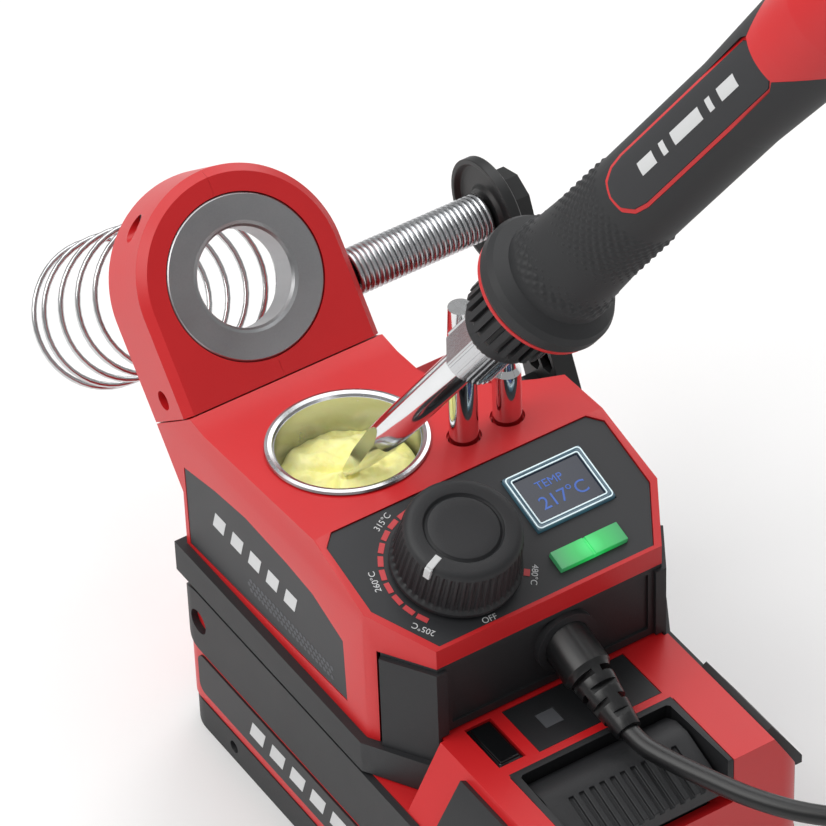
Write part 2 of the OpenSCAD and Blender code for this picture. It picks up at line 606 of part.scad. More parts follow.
module spool_core() color("#1d1e20") at_axle(0) difference() {
    rotate_extrude() polygon([[2.06, spool_x0 + 0.4], [4.6, spool_x0 + 0.4], [4.6, spool_x0 + 1], [3, spool_x0 + 1],
        [3, spool_x1], [5.8, spool_x1], [6.6, spool_x1 + 0.9], [10.8, spool_x1 + 0.9], [11.6, spool_x1 - 0.4],
        [disc_d / 2, spool_x1 - 0.4], [disc_d / 2, spool_x1 + 2], [disc_d / 2 - 1, spool_x1 + 2.6],
        [2.06, spool_x1 + 2.6]]);
}

solder_turns = floor((spool_x1 - spool_x0 - 1) / (solder_wire_d + 0.02));
module solder_winding() color("#c2c5c9") at_axle(0) rotate_extrude() polygon(concat(
    [[3.05, spool_x1 - 0.1], [3.05, spool_x0 + 1.1]],
    [for (i = [0 : solder_turns - 2], k = [0 : 4])
        [solder_d / 2 - solder_wire_d / 2 * (1 - sin(k * 45)) * 0.9,
            spool_x0 + 1.1 + (i + k / 5) * solder_wire_d * 1.02]],
    [[solder_d / 2 - 0.5, spool_x1 - 0.1]]));

// Lattice arm that carries the spool's outer end.
arm_x = spool_x1 + 3;
module spool_arm() color("#1b1c1e") union() {
    difference() {
        across(arm_x, arm_x + 5, [[45.4, 54], [60, 50], [77.6, 89.6], [79, 95], [76, 99.6], [70.6, 101], [66, 98.4],
            [63.8, 93]]);
        // hexagonal windows
        for (r = [0 : 3], c = [0 : 1])
            translate([arm_x - 1, 53.2 + r * 4.1 + c * 4.9, 62.4 + r * 9.2 - c * 2.4]) rotate([0, 90, 0])
                rotate([0, 0, 24]) cylinder(r = 2.5, h = 3.6, $fn = 6);
        at_axle(arm_x - 1) cylinder(d = 4.04, h = 8);
    }
    // foot that bolts to the station's side
    difference() {
        translate([half_w + 0.02, 45.6, 52]) cube([arm_x - half_w + 0.4, 13, 4]);
        translate([half_w + 8, 52, 50]) cylinder(d = 3.4, h = 8);
    }
    translate([half_w + 0.02, 45.6, 52]) cube([2, 13, 12]);
}

// ---- Strain relief, iron and cord ----

// Tapered cord sleeve along +Z, with rows of slots and a flange that sits back behind the wall.
module slotted_sleeve(l, r0, r1, back) difference() {
    rotate_extrude() polygon([[cord_d / 2 + 0.02, -back - 1.6], [r0 + 1.2, -back - 1.6], [r0 + 1.2, -back], [r0, -back],
        [r0, l * 0.36], [r0 - 0.7, l * 0.4], [r1, l], [cord_d / 2 + 0.02, l]]);
    for (i = [0 : 3], s = [0 : 2]) rotate([0, 0, 30 + s * 120 + (i % 2) * 60])
        translate([cord_d / 2 + 0.7, -3.4, l * (0.42 + i * 0.14)]) cube([8, 6.8, l * 0.055]);
}

module station_gland() color("#17181a") translate(gland_at) rotate([90 + gland_dip, 0, 0])
    slotted_sleeve(gland_l, 5.4, 2.9, 6.2);

module iron_tip() color("#c9ccd0") on_iron() difference() {
    rotate_extrude() polygon([[0, 0], [1, 0.3], [1.5, 2.5], [2.5, 7], [barrel_d / 2 - 0.5, 12], [barrel_d / 2, 16.4],
        [barrel_d / 2, 60], [barrel_d / 2 - 0.8, 60.4], [2.1, 60.4], [2.1, 26], [0, 25]]);
    // ground working face
    rotate([0, 0, label_turn - 14]) translate([0.4, -5, 0]) rotate([0, 9.4, 0]) translate([0, 0, -4]) cube([6, 10, 30]);
}

module heating_rod() color("#e6e2d8") on_iron() translate([0, 0, 26.4]) cylinder(d = 4.1, h = 58);

module tip_nut() color("#c9ccd0") on_iron() difference() {
    union() {
        translate([0, 0, 50]) cylinder(r = 6, h = 10.8);
        // knurl
        for (i = [0 : 31]) rotate([0, 0, i * 11.25]) translate([5.7, -0.3, 50.6]) cube([0.75, 0.6, 9.6]);
    }
    translate([0, 0, 49]) cylinder(d = barrel_d + 0.1, h = 14);
    // two flats for a spanner
    for (s = [0, 180]) rotate([0, 0, label_turn - 30 + s]) translate([5.1, -8, 49]) cube([5, 16, 13]);
}

module iron_collar() color("#1d1e20") on_iron() difference() {
    union() {
        rotate_extrude() polygon([[barrel_d / 2 + 0.25, 61.1], [7.2, 61.1], [8, 62.2], [8, 64.4], [8.5, 65.2],
            [8.8, 77.4], [barrel_d / 2 + 0.25, 77.4]]);
        for (i = [0 : 23]) rotate([0, 0, i * 15]) translate([8.2, -0.7, 65.8]) cube([1.6, 1.4, 11.6]);
    }
}

module accent_ring() color("#c8171d") on_iron() translate([0, 0, 77.42]) disc_ring(guard_d / 2 - 0.5, 8, 0.9);

// Whole handle, from the finger guard to the tail.
module handle_body() difference() {
    rotate_extrude() polygon([[2.2, 78.34], [guard_d / 2 - 0.6, 78.34], [guard_d / 2, 79.4], [guard_d / 2, 81.6],
        [guard_d / 2 - 0.8, 83], [guard_d / 2 - 3.2, 84.8], [11.6, 87], [grip_d / 2 + 0.5, 90.5], [grip_d / 2, 96],
        [grip_d / 2, 150], [grip_d / 2 + 0.5, 160], [grip_d / 2 + 1.1, 172], [grip_d / 2 + 1.4, 182],
        [grip_d / 2 + 1, 194], [grip_d / 2 - 0.6, 200.6], [grip_d / 2 - 3, 203.6], [2.2, 204]]);
    translate([0, 0, 92]) cylinder(r = 6.15, h = 110.6);
    translate([0, 0, 190]) cylinder(r = 4.95, h = 20);
}

// Where the red shell shows: behind the badge, coming forward in a wedge on the badge side.
module shell_region(g) rotate([0, 0, label_turn]) union() {
    across(-2 + g, 20, [[-5 + g, 168 + g], [5 - g, 168 + g], [13, 181 + g], [13, 210], [-13, 210], [-13, 181 + g]]);
    translate([0, 20, 0]) rotate([90, 0, 0]) linear_extrude(40)
        polygon([[-1.9 + g, 181 + g], [-12, 195 + g], [-12, 210], [20, 210], [20, 181 + g]]);
}

// Long badge let into the grip's side, in (y, z) of its own face.
function badge_outline(g) = [[-5.2 - g, 124 - g], [-4.6 - g, 120.6 - g], [-2.8 - g, 118.4 - g], [0, 117.8 - g],
    [2.8 + g, 118.4 - g], [4.6 + g, 120.6 - g], [5.2 + g, 124 - g], [5.2 + g, 166], [4.2 + g, 167.6 + g],
    [-4.2 - g, 167.6 + g], [-5.2 - g, 166]];
module badge_block(x0, g) rotate([0, 0, label_turn]) across(x0, 14, badge_outline(g));

module iron_grip() color("#202123") on_iron() difference() {
    handle_body();
    shell_region(0);
    badge_block(7.5, 0.75);
}

module iron_shell() color("#c8171d") on_iron() difference() {
    union() {
        intersection() {
            handle_body();
            shell_region(0.04);
        }
        // tray and thin rim that frame the badge
        intersection() {
            badge_block(7.56, 0.7);
            cylinder(r = grip_d / 2 + 0.1, h = 200);
        }
    }
    badge_block(8.4, 0.06);
}

module iron_badge() color("#2a2b2e") on_iron() intersection() {
    badge_block(8.44, 0);
    cylinder(d = grip_d + 0.5, h = 200);
}

module iron_gland() color("#17181a") on_iron() translate([0, 0, 204.04]) slotted_sleeve(23.6, 4.9, 2.9, 1.5);

module cord_lead() color("#111214") tube(smooth_route(lead_route, 4), cord_d / 2, 10);
module cord_tail() color("#111214") tube(smooth_route(tail_route, 4), cord_d / 2, 10, [0.77, 0.64, 0]);
module cord_coil() color("#111214") translate([coil_at[0], coil_at[1], 0]) rotate_extrude()
    polygon([[coil_d / 2 - coil_wide / 2, 0], [coil_d / 2 + coil_wide / 2, 0], [coil_d / 2 + coil_wide / 2, coil_high],
        [coil_d / 2 - coil_wide / 2, coil_high]]);

pack_tray();
pack_case();
pack_guards();
pack_side_plates();
pack_cells();
pack_board();
pack_contacts();
pack_screws();
pack_latch();
level_button();
level_window();
lower_body();  // lower_housing
upper_body();  // upper_housing
dock_contacts();
station_screws();
control_panel();
panel_marks();
side_plates();
control_board();
potentiometer();
dial_knob();
display_frame();
display_glass();
status_lens();
cleaning_cup();
cleaning_sponge();
spare_tip_chisel();
spare_tip_bevel();
rest_left_shell();
rest_right_shell();
rest_ring();
rest_spring();
rest_screws();
spool_axle();
spool_core();
solder_winding();
spool_arm();
station_gland();
iron_tip();
heating_rod();
tip_nut();
iron_collar();
accent_ring();
iron_grip();
iron_shell();
iron_badge();
iron_gland();
cord_lead();
cord_coil();
cord_tail();
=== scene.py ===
import json
import math

import bmesh
import bpy
from mathutils import Matrix, Vector, noise


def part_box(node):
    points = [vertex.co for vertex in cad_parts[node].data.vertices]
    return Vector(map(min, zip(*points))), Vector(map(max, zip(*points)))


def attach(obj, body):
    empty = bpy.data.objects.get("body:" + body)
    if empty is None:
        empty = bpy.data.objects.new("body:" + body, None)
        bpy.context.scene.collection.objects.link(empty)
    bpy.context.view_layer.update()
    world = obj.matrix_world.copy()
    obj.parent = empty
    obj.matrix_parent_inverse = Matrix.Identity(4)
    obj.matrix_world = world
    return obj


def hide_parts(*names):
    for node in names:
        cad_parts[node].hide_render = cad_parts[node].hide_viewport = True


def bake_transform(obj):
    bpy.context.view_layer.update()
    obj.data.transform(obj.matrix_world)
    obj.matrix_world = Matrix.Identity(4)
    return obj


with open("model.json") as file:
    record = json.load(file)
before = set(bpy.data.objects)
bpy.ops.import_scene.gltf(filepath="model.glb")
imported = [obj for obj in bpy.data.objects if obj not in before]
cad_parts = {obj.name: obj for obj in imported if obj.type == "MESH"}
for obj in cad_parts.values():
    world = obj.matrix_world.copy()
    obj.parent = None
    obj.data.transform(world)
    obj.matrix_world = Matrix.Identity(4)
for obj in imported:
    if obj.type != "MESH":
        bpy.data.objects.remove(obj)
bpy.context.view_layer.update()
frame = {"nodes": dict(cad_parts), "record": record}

scene = bpy.context.scene
mm = 0.001        # the frame is in metres
nodeBody = {n: b for b, members in frame["record"]["behaviour"]["bodies"].items() for n in members}
nodeSlot = {s["node"]: s["material_slot"] for s in frame["record"]["subparts"]}


# the camera stands in front and to the left, looks down and is tipped a little; angles in degrees
cameraSetup = {
    "place": (-0.4424, -0.6969, 0.8435), "azimuth": 31.5, "elevation": 41.5, "roll": -2.2, "lens": 239.7,
}


def makeCamera(setup):
    data = bpy.data.cameras.new("studioCamera")
    data.lens = setup["lens"]
    data.sensor_width = 36
    data.clip_end = 20
    camera = bpy.data.objects.new("studioCamera", data)
    scene.collection.objects.link(camera)
    pan = Matrix.Rotation(math.radians(-setup["azimuth"]), 4, "Z")
    tilt = Matrix.Rotation(math.radians(90 - setup["elevation"]), 4, "X")
    roll = Matrix.Rotation(math.radians(setup["roll"]), 4, "Z")
    camera.matrix_world = Matrix.Translation(setup["place"]) @ pan @ tilt @ roll
    scene.camera = camera


makeCamera(cameraSetup)

lights = {
    # name: (place, size, watts, colour); every lamp points at the station
    "keySoftbox": ((-0.95, 0.15, 1.1), 1.0, 10.5, (1.0, 0.99, 0.97)),
    "topSoftbox": ((0.1, 0.5, 1.5), 1.3, 11.0, (1.0, 1.0, 1.0)),
    "fillSoftbox": ((0.5, -1.3, 1.2), 0.9, 0.5, (0.97, 0.985, 1.0)),
    "rimSoftbox": ((1.0, 0.7, 0.9), 0.7, 4.0, (1.0, 1.0, 1.0)),
}


def makeLights(table):
    aim = Vector((0.0, 0.0, 0.07))
    for name, (place, size, watts, colour) in table.items():
        data = bpy.data.lights.new(name, "AREA")
        data.shape = "SQUARE"
        data.size = size
        data.energy = watts
        data.color = colour
        lamp = bpy.data.objects.new(name, data)
        scene.collection.objects.link(lamp)
        lamp.location = place
        lamp.rotation_euler = (aim - Vector(place)).to_track_quat("-Z", "Y").to_euler()


makeLights(lights)

roomGlow = 0.38


def makeRoom(glow):
    world = bpy.data.worlds.new("paleRoom")
    world.use_nodes = True
    background = world.node_tree.nodes["Background"]
    background.inputs["Color"].default_value = (1, 1, 1, 1)
    background.inputs["Strength"].default_value = glow
    scene.world = world


makeRoom(roomGlow)
scene.view_settings.view_transform = "Standard"
print("camera and light ready")


def hexColour(code, alpha=1.0):
    # sRGB hex to linear
    parts = [int(code[i : i + 2], 16) / 255 for i in (0, 2, 4)]
    line = [c / 12.92 if c <= 0.04045 else ((c + 0.055) / 1.055) ** 2.4 for c in parts]
    return (*line, alpha)


def addNode(tree, kind, values=None, links=None, **settings):
    added = tree.nodes.new(kind)
    for name, value in settings.items():
        setattr(added, name, value)
    for name, value in (values or {}).items():
        added.inputs[name].default_value = value
    for name, (source, output) in (links or {}).items():
        tree.links.new(source.outputs[output], added.inputs[name])
    return added


def newMaterial(name, colour, roughness, metallic=0.0, ior=1.5, **shader):
    material = bpy.data.materials.new(name)
    material.use_nodes = True
    tree = material.node_tree
    surface = tree.nodes["Principled BSDF"]
    surface.inputs["Base Color"].default_value = hexColour(colour)
    surface.inputs["Roughness"].default_value = roughness
    surface.inputs["Metallic"].default_value = metallic
    surface.inputs["IOR"].default_value = ior
    for key, value in shader.items():
        surface.inputs[key.replace("_", " ")].default_value = value
    return material, tree, surface


def grained(material, tree, surface, colours, roughnesses, grain, depth, patch=0.02, bumpStrength=0.5):
    # broad patches shift colour and gloss a little, fine grain dents the surface
    where = {"Vector": (addNode(tree, "ShaderNodeTexCoord"), "Object")}
    broad = addNode(tree, "ShaderNodeTexNoise", {"Scale": 1 / patch, "Detail": 4.0}, where)
    fine = addNode(tree, "ShaderNodeTexNoise", {"Scale": 1 / grain, "Detail": 3.0}, where)
    tint = addNode(tree, "ShaderNodeMix", {6: hexColour(colours[0]), 7: hexColour(colours[1])},
                   {0: (broad, "Fac")}, data_type="RGBA")
    rough = addNode(tree, "ShaderNodeMapRange", {"To Min": roughnesses[0], "To Max": roughnesses[1]},
                    {"Value": (broad, "Fac")})
    bump = addNode(tree, "ShaderNodeBump", {"Strength": bumpStrength, "Distance": depth},
                   {"Height": (fine, "Fac")})
    tree.links.new(tint.outputs[2], surface.inputs["Base Color"])
    tree.links.new(rough.outputs[0], surface.inputs["Roughness"])
    tree.links.new(bump.outputs[0], surface.inputs["Normal"])


def makePlastic(name, dark, light, roughnesses, grain, depth, **shader):
    material, tree, surface = newMaterial(name, dark, roughnesses[0], **shader)
    grained(material, tree, surface, (dark, light), roughnesses, grain, depth)
    return material


# Satin injection-moulded ABS: an even bright red with a soft sheen and a barely visible spark texture.
redAbs = makePlastic("satinRedAbs", "C3171C", "CE1D21", (0.34, 0.44), 0.0006, 0.00003)
# Spark-textured black ABS: a matt charcoal with a fine leather-like grain.
blackAbs = makePlastic("texturedBlackAbs", "1B1C1E", "232427", (0.5, 0.62), 0.0005, 0.00006)
# Deeper black nylon for the spool arm and axle.
blackNylon = makePlastic("blackNylon", "141516", "1B1C1D", (0.42, 0.52), 0.0008, 0.00004)
# Thermoplastic elastomer over the grip: darker and duller than the hard plastic.
gripRubber = makePlastic("gripElastomer", "1D1E1F", "26272A", (0.55, 0.68), 0.0004, 0.00005)
# Soft PVC jacket of the cord: black with a long soft highlight.
cordPvc = makePlastic("softPvcJacket", "0E0F10", "141517", (0.3, 0.38), 0.002, 0.00002)
# Polished black ABS of the button: sharp reflections.
glossBlack = makePlastic("polishedBlackAbs", "0B0C0D", "101113", (0.08, 0.14), 0.004, 0.00001)
# Smoked film over the charge lamps.
smokedFilm = makePlastic("smokedFilm", "1A1B1D", "202124", (0.45, 0.52), 0.0005, 0.00003)
# Screen-printed polyester film of the control panel: even matt charcoal.
panelFilm = makePlastic("printedPanelFilm", "232427", "292A2D", (0.48, 0.56), 0.0005, 0.00003)
# Screen-printing inks.
whiteInk = makePlastic("whiteInk", "C9CBCC", "D8D9DA", (0.5, 0.6), 0.001, 0.00001)
redInk = makePlastic("redInk", "C23A40", "D14A4E", (0.5, 0.6), 0.001, 0.00001)
greyInk = makePlastic("greyInk", "4A4C50", "55575B", (0.5, 0.6), 0.001, 0.00001)
# Glass-epoxy circuit board, shrink wrap, fired ceramic: all inside.
boardGreen = makePlastic("glassEpoxy", "1D5A33", "256B3E", (0.3, 0.4), 0.001, 0.00002)
cellWrap = makePlastic("cellShrinkWrap", "2A6C8C", "327A9B", (0.25, 0.35), 0.003, 0.00002)
ceramic = makePlastic("firedAlumina", "D8D4CA", "E2DED4", (0.5, 0.6), 0.001, 0.00002)


def makeMetal(name, dark, light, roughnesses, grain, depth, haze=90.0):
    # fine grain dents the surface; it and broader haze together shift colour and gloss
    material, tree, surface = newMaterial(name, dark, roughnesses[0], metallic=1.0)
    where = {"Vector": (addNode(tree, "ShaderNodeTexCoord"), "Object")}
    fine = addNode(tree, "ShaderNodeTexNoise", {"Scale": 1 / grain, "Detail": 4.0}, where)
    broad = addNode(tree, "ShaderNodeTexNoise", {"Scale": haze, "Detail": 3.0}, where)
    both = addNode(tree, "ShaderNodeMix", {0: 0.5}, {2: (fine, "Fac"), 3: (broad, "Fac")})
    tint = addNode(tree, "ShaderNodeMix", {6: hexColour(dark), 7: hexColour(light)}, {0: (both, 0)},
                   data_type="RGBA")
    rough = addNode(tree, "ShaderNodeMapRange", {"From Min": 0.3, "From Max": 0.7, "To Min": roughnesses[0],
                    "To Max": roughnesses[1]}, {"Value": (both, 0)})
    bump = addNode(tree, "ShaderNodeBump", {"Strength": 0.4, "Distance": depth}, {"Height": (fine, "Fac")})
    tree.links.new(tint.outputs[2], surface.inputs["Base Color"])
    tree.links.new(rough.outputs[0], surface.inputs["Roughness"])
    tree.links.new(bump.outputs[0], surface.inputs["Normal"])
    return material


# Bright chrome plating on the tips: mirror-like with faint handling haze.
chrome = makeMetal("brightChrome", "D9DADC", "E8E9EA", (0.05, 0.12), 0.003, 0.000004)
# Chrome-plated spring wire.
springSteel = makeMetal("platedSpringWire", "BFC0C2", "D6D7D8", (0.12, 0.22), 0.002, 0.000006)
# Stamped stainless ring, brushed with abrasive.
ringSteel = makeMetal("brushedStainless", "98999B", "B2B3B5", (0.28, 0.42), 0.0004, 0.00001)
# Spun stainless cup.
cupSteel = makeMetal("spunStainless", "B5B6B8", "CBCCCE", (0.18, 0.3), 0.0006, 0.000008)
# Nickel-plated nut, slightly duller than the tip.
nickel = makeMetal("nickelPlate", "B9BABC", "CFD0D2", (0.16, 0.28), 0.0008, 0.00001)
# Tin solder wire: soft grey shine.
tinWire = makeMetal("tinSolder", "B7B9BC", "CDCFD1", (0.22, 0.36), 0.0006, 0.00001)
# Zinc-plated screws and drawn brass contacts.
zinc = makeMetal("zincPlate", "6E7074", "868A8E", (0.3, 0.42), 0.0006, 0.00001)
brass = makeMetal("stampedBrass", "B08D4A", "C9A660", (0.25, 0.35), 0.0006, 0.00001)


def makeBacklitAndPaintedGlow(name, colour, glow, strength, roughness, patches=220.0):
    # a glowing part, lit by the real backlight on the display glass and segments, painted light on the clear
    # pane and its edges: its own colour under a glow that drifts between two tones in soft patches
    material, tree, surface = newMaterial(name, colour, roughness)
    where = {"Vector": (addNode(tree, "ShaderNodeTexCoord"), "Object")}
    patch = addNode(tree, "ShaderNodeTexNoise", {"Scale": patches, "Detail": 1.0}, where)
    fade = addNode(tree, "ShaderNodeMix", {6: hexColour(glow[0]), 7: hexColour(glow[1])},
                   {0: (patch, "Fac")}, data_type="RGBA")
    tree.links.new(fade.outputs[2], surface.inputs["Emission Color"])
    surface.inputs["Emission Strength"].default_value = strength
    return material


lensLook = {
    "colour": "3C9A5E", "roughness": 0.14, "reach": 8.5 * mm, "strength": 0.62,
    "middle": "B4FFC4", "between": ((0.16, "3DF27A"), (0.42, "12B84A")), "end": (0.95, "2E6B45"),
}


def boxMiddle(cadNode):
    low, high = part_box(cadNode)
    return (Vector(low) + Vector(high)) / 2


def makeLens(look):
    # frosted green polycarbonate over a lamp: a glossy skin, brightest over the lamp, dark at both ends
    material, tree, surface = newMaterial("litGreenPolycarbonate", look["colour"], look["roughness"])
    place = addNode(tree, "ShaderNodeTexCoord")
    lamp = tuple(boxMiddle("status_lens"))
    offset = addNode(tree, "ShaderNodeVectorMath", {1: lamp}, {0: (place, "Object")}, operation="SUBTRACT")
    away = addNode(tree, "ShaderNodeVectorMath", {}, {0: (offset, 0)}, operation="LENGTH")
    fall = addNode(tree, "ShaderNodeMapRange", {"From Min": 0.0, "From Max": look["reach"]},
                   {"Value": (away, "Value")})
    ramp = addNode(tree, "ShaderNodeValToRGB", {}, {"Fac": (fall, 0)})
    stops = ramp.color_ramp.elements
    stops[0].color = hexColour(look["middle"])
    stops[1].position = look["end"][0]
    stops[1].color = hexColour(look["end"][1])
    for position, code in look["between"]:
        stop = stops.new(position)
        stop.color = hexColour(code)
    tree.links.new(ramp.outputs[0], surface.inputs["Emission Color"])
    surface.inputs["Emission Strength"].default_value = look["strength"]
    return material


greenLens = makeLens(lensLook)
# Clear polycarbonate round the display: dark, with a painted cyan glow standing in for the light its clear
# edge catches.
paintedGlowPane = makeBacklitAndPaintedGlow("clearPolycarbonatePaintedGlow", "4E5F6B", ("1B3A48", "3F7F93"), 0.3, 0.06)
# Painted highlight: thin glowing lines stand in for the light caught by the pane's polished corners.
paintedPaneHighlight = makeBacklitAndPaintedGlow("paintedPaneEdgeHighlight", "DCEBEF", ("9CCFDD", "E8F6F8"), 0.3, 0.15)
# Liquid crystal glass: almost black blue with sharp reflections.
displayGlass = makeBacklitAndPaintedGlow("liquidCrystalGlass", "101726", ("0C1424", "18253F"), 0.35, 0.06)
# Lit segments of the display: a dim, cool blue.
litSegments = makeBacklitAndPaintedGlow("litSegments", "1F3A78", ("3A63BE", "5585E6"), 0.5, 0.3)


def makeSponge():
    # cellulose sponge: soft matt yellow with open pores of about 1 mm
    material, tree, surface = newMaterial("cellulosePores", "F3EE9A", 0.9, Subsurface_Weight=0.15,
                                          Subsurface_Scale=0.002)
    grained(material, tree, surface, ("EBE671", "FFFBC4"), (0.8, 0.95), 0.0012, 0.0004, patch=0.004,
            bumpStrength=0.7)
    return material


yellowSponge = makeSponge()
print("materials ready")


def finishPiece(piece, body, slotName, *replaced):
    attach(piece, body)
    if replaced:
        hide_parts(*replaced)
    return piece


def pieceFromMesh(name, mesh, material):
    piece = bpy.data.objects.new(name, mesh)
    scene.collection.objects.link(piece)
    mesh.materials.clear()
    mesh.materials.append(material)
    return piece


def smoothed(mesh, degrees=40):
    mesh.shade_smooth()
    mesh.set_sharp_from_angle(angle=math.radians(degrees))
    return mesh


def applied(piece):
    # bakes the piece's modifiers into a plain mesh
    graph = bpy.context.evaluated_depsgraph_get()
    mesh = bpy.data.meshes.new_from_object(piece.evaluated_get(graph))
    piece.modifiers.clear()
    old = piece.data
    piece.data = mesh
    bpy.data.meshes.remove(old)
    return piece


def mergedCopy(cadNode):
    # the node's loose triangles joined up, and its flat faces made whole again
    mesh = frame["nodes"][cadNode].data.copy()
    work = bmesh.new()
    work.from_mesh(mesh)
    bmesh.ops.remove_doubles(work, verts=work.verts, dist=2e-6)
    bmesh.ops.dissolve_limit(work, angle_limit=math.radians(0.6), verts=work.verts, edges=work.edges)
    work.to_mesh(mesh)
    work.free()
    return mesh


def edgeSoftened(cadNode, name, material, width, segments=3, angle=32):
    # the frame's own shape with its hard edges rounded as a mould would leave them
    mesh = mergedCopy(cadNode)
    piece = pieceFromMesh(name, mesh, material)
    bevel = piece.modifiers.new("edge", "BEVEL")
    bevel.width = width
    bevel.segments = segments
    bevel.limit_method = "ANGLE"
    bevel.angle_limit = math.radians(angle)
    bevel.miter_outer = "MITER_ARC"
    applied(piece)
    smoothed(piece.data)
    weighted = piece.modifiers.new("evenFlats", "WEIGHTED_NORMAL")
    weighted.keep_sharp = True
    applied(piece)
    return finishPiece(piece, nodeBody[cadNode], nodeSlot[cadNode], cadNode)


softenedPieces = {
    # frame node: (piece name, material, edge radius in mm)
    "pack_tray": ("packTray", blackAbs, 0.8),
    "pack_case": ("packCase", redAbs, 0.7),
    "pack_guards": ("packGuards", blackAbs, 0.5),
    "pack_latch": ("packLatch", blackAbs, 0.2),
    "level_button": ("levelButton", glossBlack, 0.35),
    "level_window": ("levelWindow", smokedFilm, 0.12),
    "lower_housing": ("lowerHousing", blackAbs, 0.7),
    "upper_housing": ("upperHousing", redAbs, 1.1),
    # the display frame's material carries a painted cyan glow
    "display_frame": ("displayFrame", paintedGlowPane, 0.45),
    "status_lens": ("statusLens", greenLens, 0.3),
    "rest_left_shell": ("restLeftShell", redAbs, 1.0),
    "rest_right_shell": ("restRightShell", redAbs, 1.0),
    "spool_arm": ("spoolArm", blackNylon, 0.35),
    "spool_core": ("spoolCore", blackNylon, 0.2),
    "station_gland": ("stationGland", cordPvc, 0.3),
    "tip_nut": ("tipNut", nickel, 0.12),
    "iron_collar": ("ironCollar", blackAbs, 0.15),
    "iron_gland": ("ironGland", cordPvc, 0.3),
    "accent_ring": ("accentRing", redAbs, 0.2),
}
for cadNode, (pieceName, material, radius) in softenedPieces.items():
    edgeSoftened(cadNode, pieceName, material, radius * mm)
    print("piece", pieceName)

keptNodes = {
    "pack_side_plates": panelFilm, "pack_cells": cellWrap, "pack_board": boardGreen, "pack_contacts": brass,
    "pack_screws": zinc, "dock_contacts": brass, "station_screws": zinc, "control_panel": panelFilm,
    "panel_marks": redInk, "side_plates": panelFilm, "control_board": boardGreen, "potentiometer": zinc,
    "display_glass": displayGlass, "cleaning_cup": cupSteel, "spare_tip_chisel": chrome,
    "spare_tip_bevel": chrome, "rest_ring": ringSteel, "rest_screws": zinc,
    "spool_axle": blackNylon, "iron_tip": chrome, "heating_rod": ceramic,
    "iron_grip": gripRubber, "iron_shell": redAbs, "iron_badge": panelFilm,
}
for cadNode, material in keptNodes.items():
    data = frame["nodes"][cadNode].data
    data.materials.clear()
    data.materials.append(material)
    smoothed(data, 35)


jointRows = {row["name"]: row for row in frame["record"]["behaviour"]["joints"]}


def frameAt(origin, up, across=(1, 0, 0)):
    # z along `up`, x as near to `across` as it can be
    z = Vector(up).normalized()
    y = z.cross(Vector(across)).normalized()
    x = y.cross(z)
    return Matrix.Translation(origin) @ Matrix((x, y, z)).transposed().to_4x4()


# where the moving and leaning pieces sit, from the record's joints and the nodes' boxes
dialFrame = frameAt(jointRows["dial_turn"]["pos_m"], jointRows["dial_turn"]["axis"])
ironAxis = Vector(jointRows["iron_lift"]["axis"]).normalized()
nutHeight = 55 * mm        # from the iron's tip
ironTip = Vector(jointRows["tip_nut_turn"]["pos_m"]) - ironAxis * nutHeight
labelTurn = math.radians(-121.8)        # the badge's place round the handle
ironTurn = Matrix.Rotation(math.radians(-56.6), 4, "Z") @ Matrix.Rotation(math.radians(35.1), 4, "Y")
ironFrame = Matrix.Translation(ironTip) @ ironTurn
restTilt, cupLean = math.radians(51.5), math.radians(-4.1)
restFrame = Matrix.Translation(boxMiddle("rest_ring")) @ Matrix.Rotation(restTilt, 4, "X")
cupFrame = Matrix.Translation(boxMiddle("cleaning_cup")) @ Matrix.Rotation(cupLean, 4, "X")


def meshFrom(work, name):
    bmesh.ops.recalc_face_normals(work, faces=work.faces)
    mesh = bpy.data.meshes.new(name)
    work.to_mesh(mesh)
    work.free()
    return mesh


def turned(name, profile, sides, shift=None):
    # a lathe: profile of (radius, height) rows in mm, pole to pole; shift(angle, row) moves a point outward
    work = bmesh.new()
    rows = []
    for i, (ring, height) in enumerate(profile):
        if ring < 1e-6:
            rows.append([work.verts.new((0, 0, height * mm))])
            continue
        row = []
        for k in range(sides):
            angle = 2 * math.pi * k / sides
            out = (ring + (shift(angle, i) if shift else 0)) * mm
            row.append(work.verts.new((out * math.cos(angle), out * math.sin(angle), height * mm)))
        rows.append(row)
    for low, high in zip(rows, rows[1:]):
        for k in range(sides):
            n = (k + 1) % sides
            if len(low) == 1:
                work.faces.new((low[0], high[n], high[k]))
            elif len(high) == 1:
                work.faces.new((low[k], low[n], high[0]))
            else:
                work.faces.new((low[k], low[n], high[n], high[k]))
    return meshFrom(work, name)


def roundedBox(name, low, high, radius, segments=2):
    # sizes in mm
    work = bmesh.new()
    bmesh.ops.create_cube(work, size=1.0)
    for v in work.verts:
        v.co = Vector([(high[a] if v.co[a] > 0 else low[a]) * mm for a in range(3)])
    if radius:
        bmesh.ops.bevel(work, geom=list(work.edges), offset=radius * mm, segments=segments, profile=0.5,
                        affect="EDGES")
    return meshFrom(work, name)


def closedBand(name, loops):
    # a closed ring of four loops of points, each joined to the next and the last to the first
    work = bmesh.new()
    rows = [[work.verts.new(point) for point in loop] for loop in loops]
    count = len(loops[0])
    for a, b in zip(rows, rows[1:] + rows[:1]):
        for k in range(count):
            n = (k + 1) % count
            work.faces.new((a[k], a[n], b[n], b[k]))
    return meshFrom(work, name)


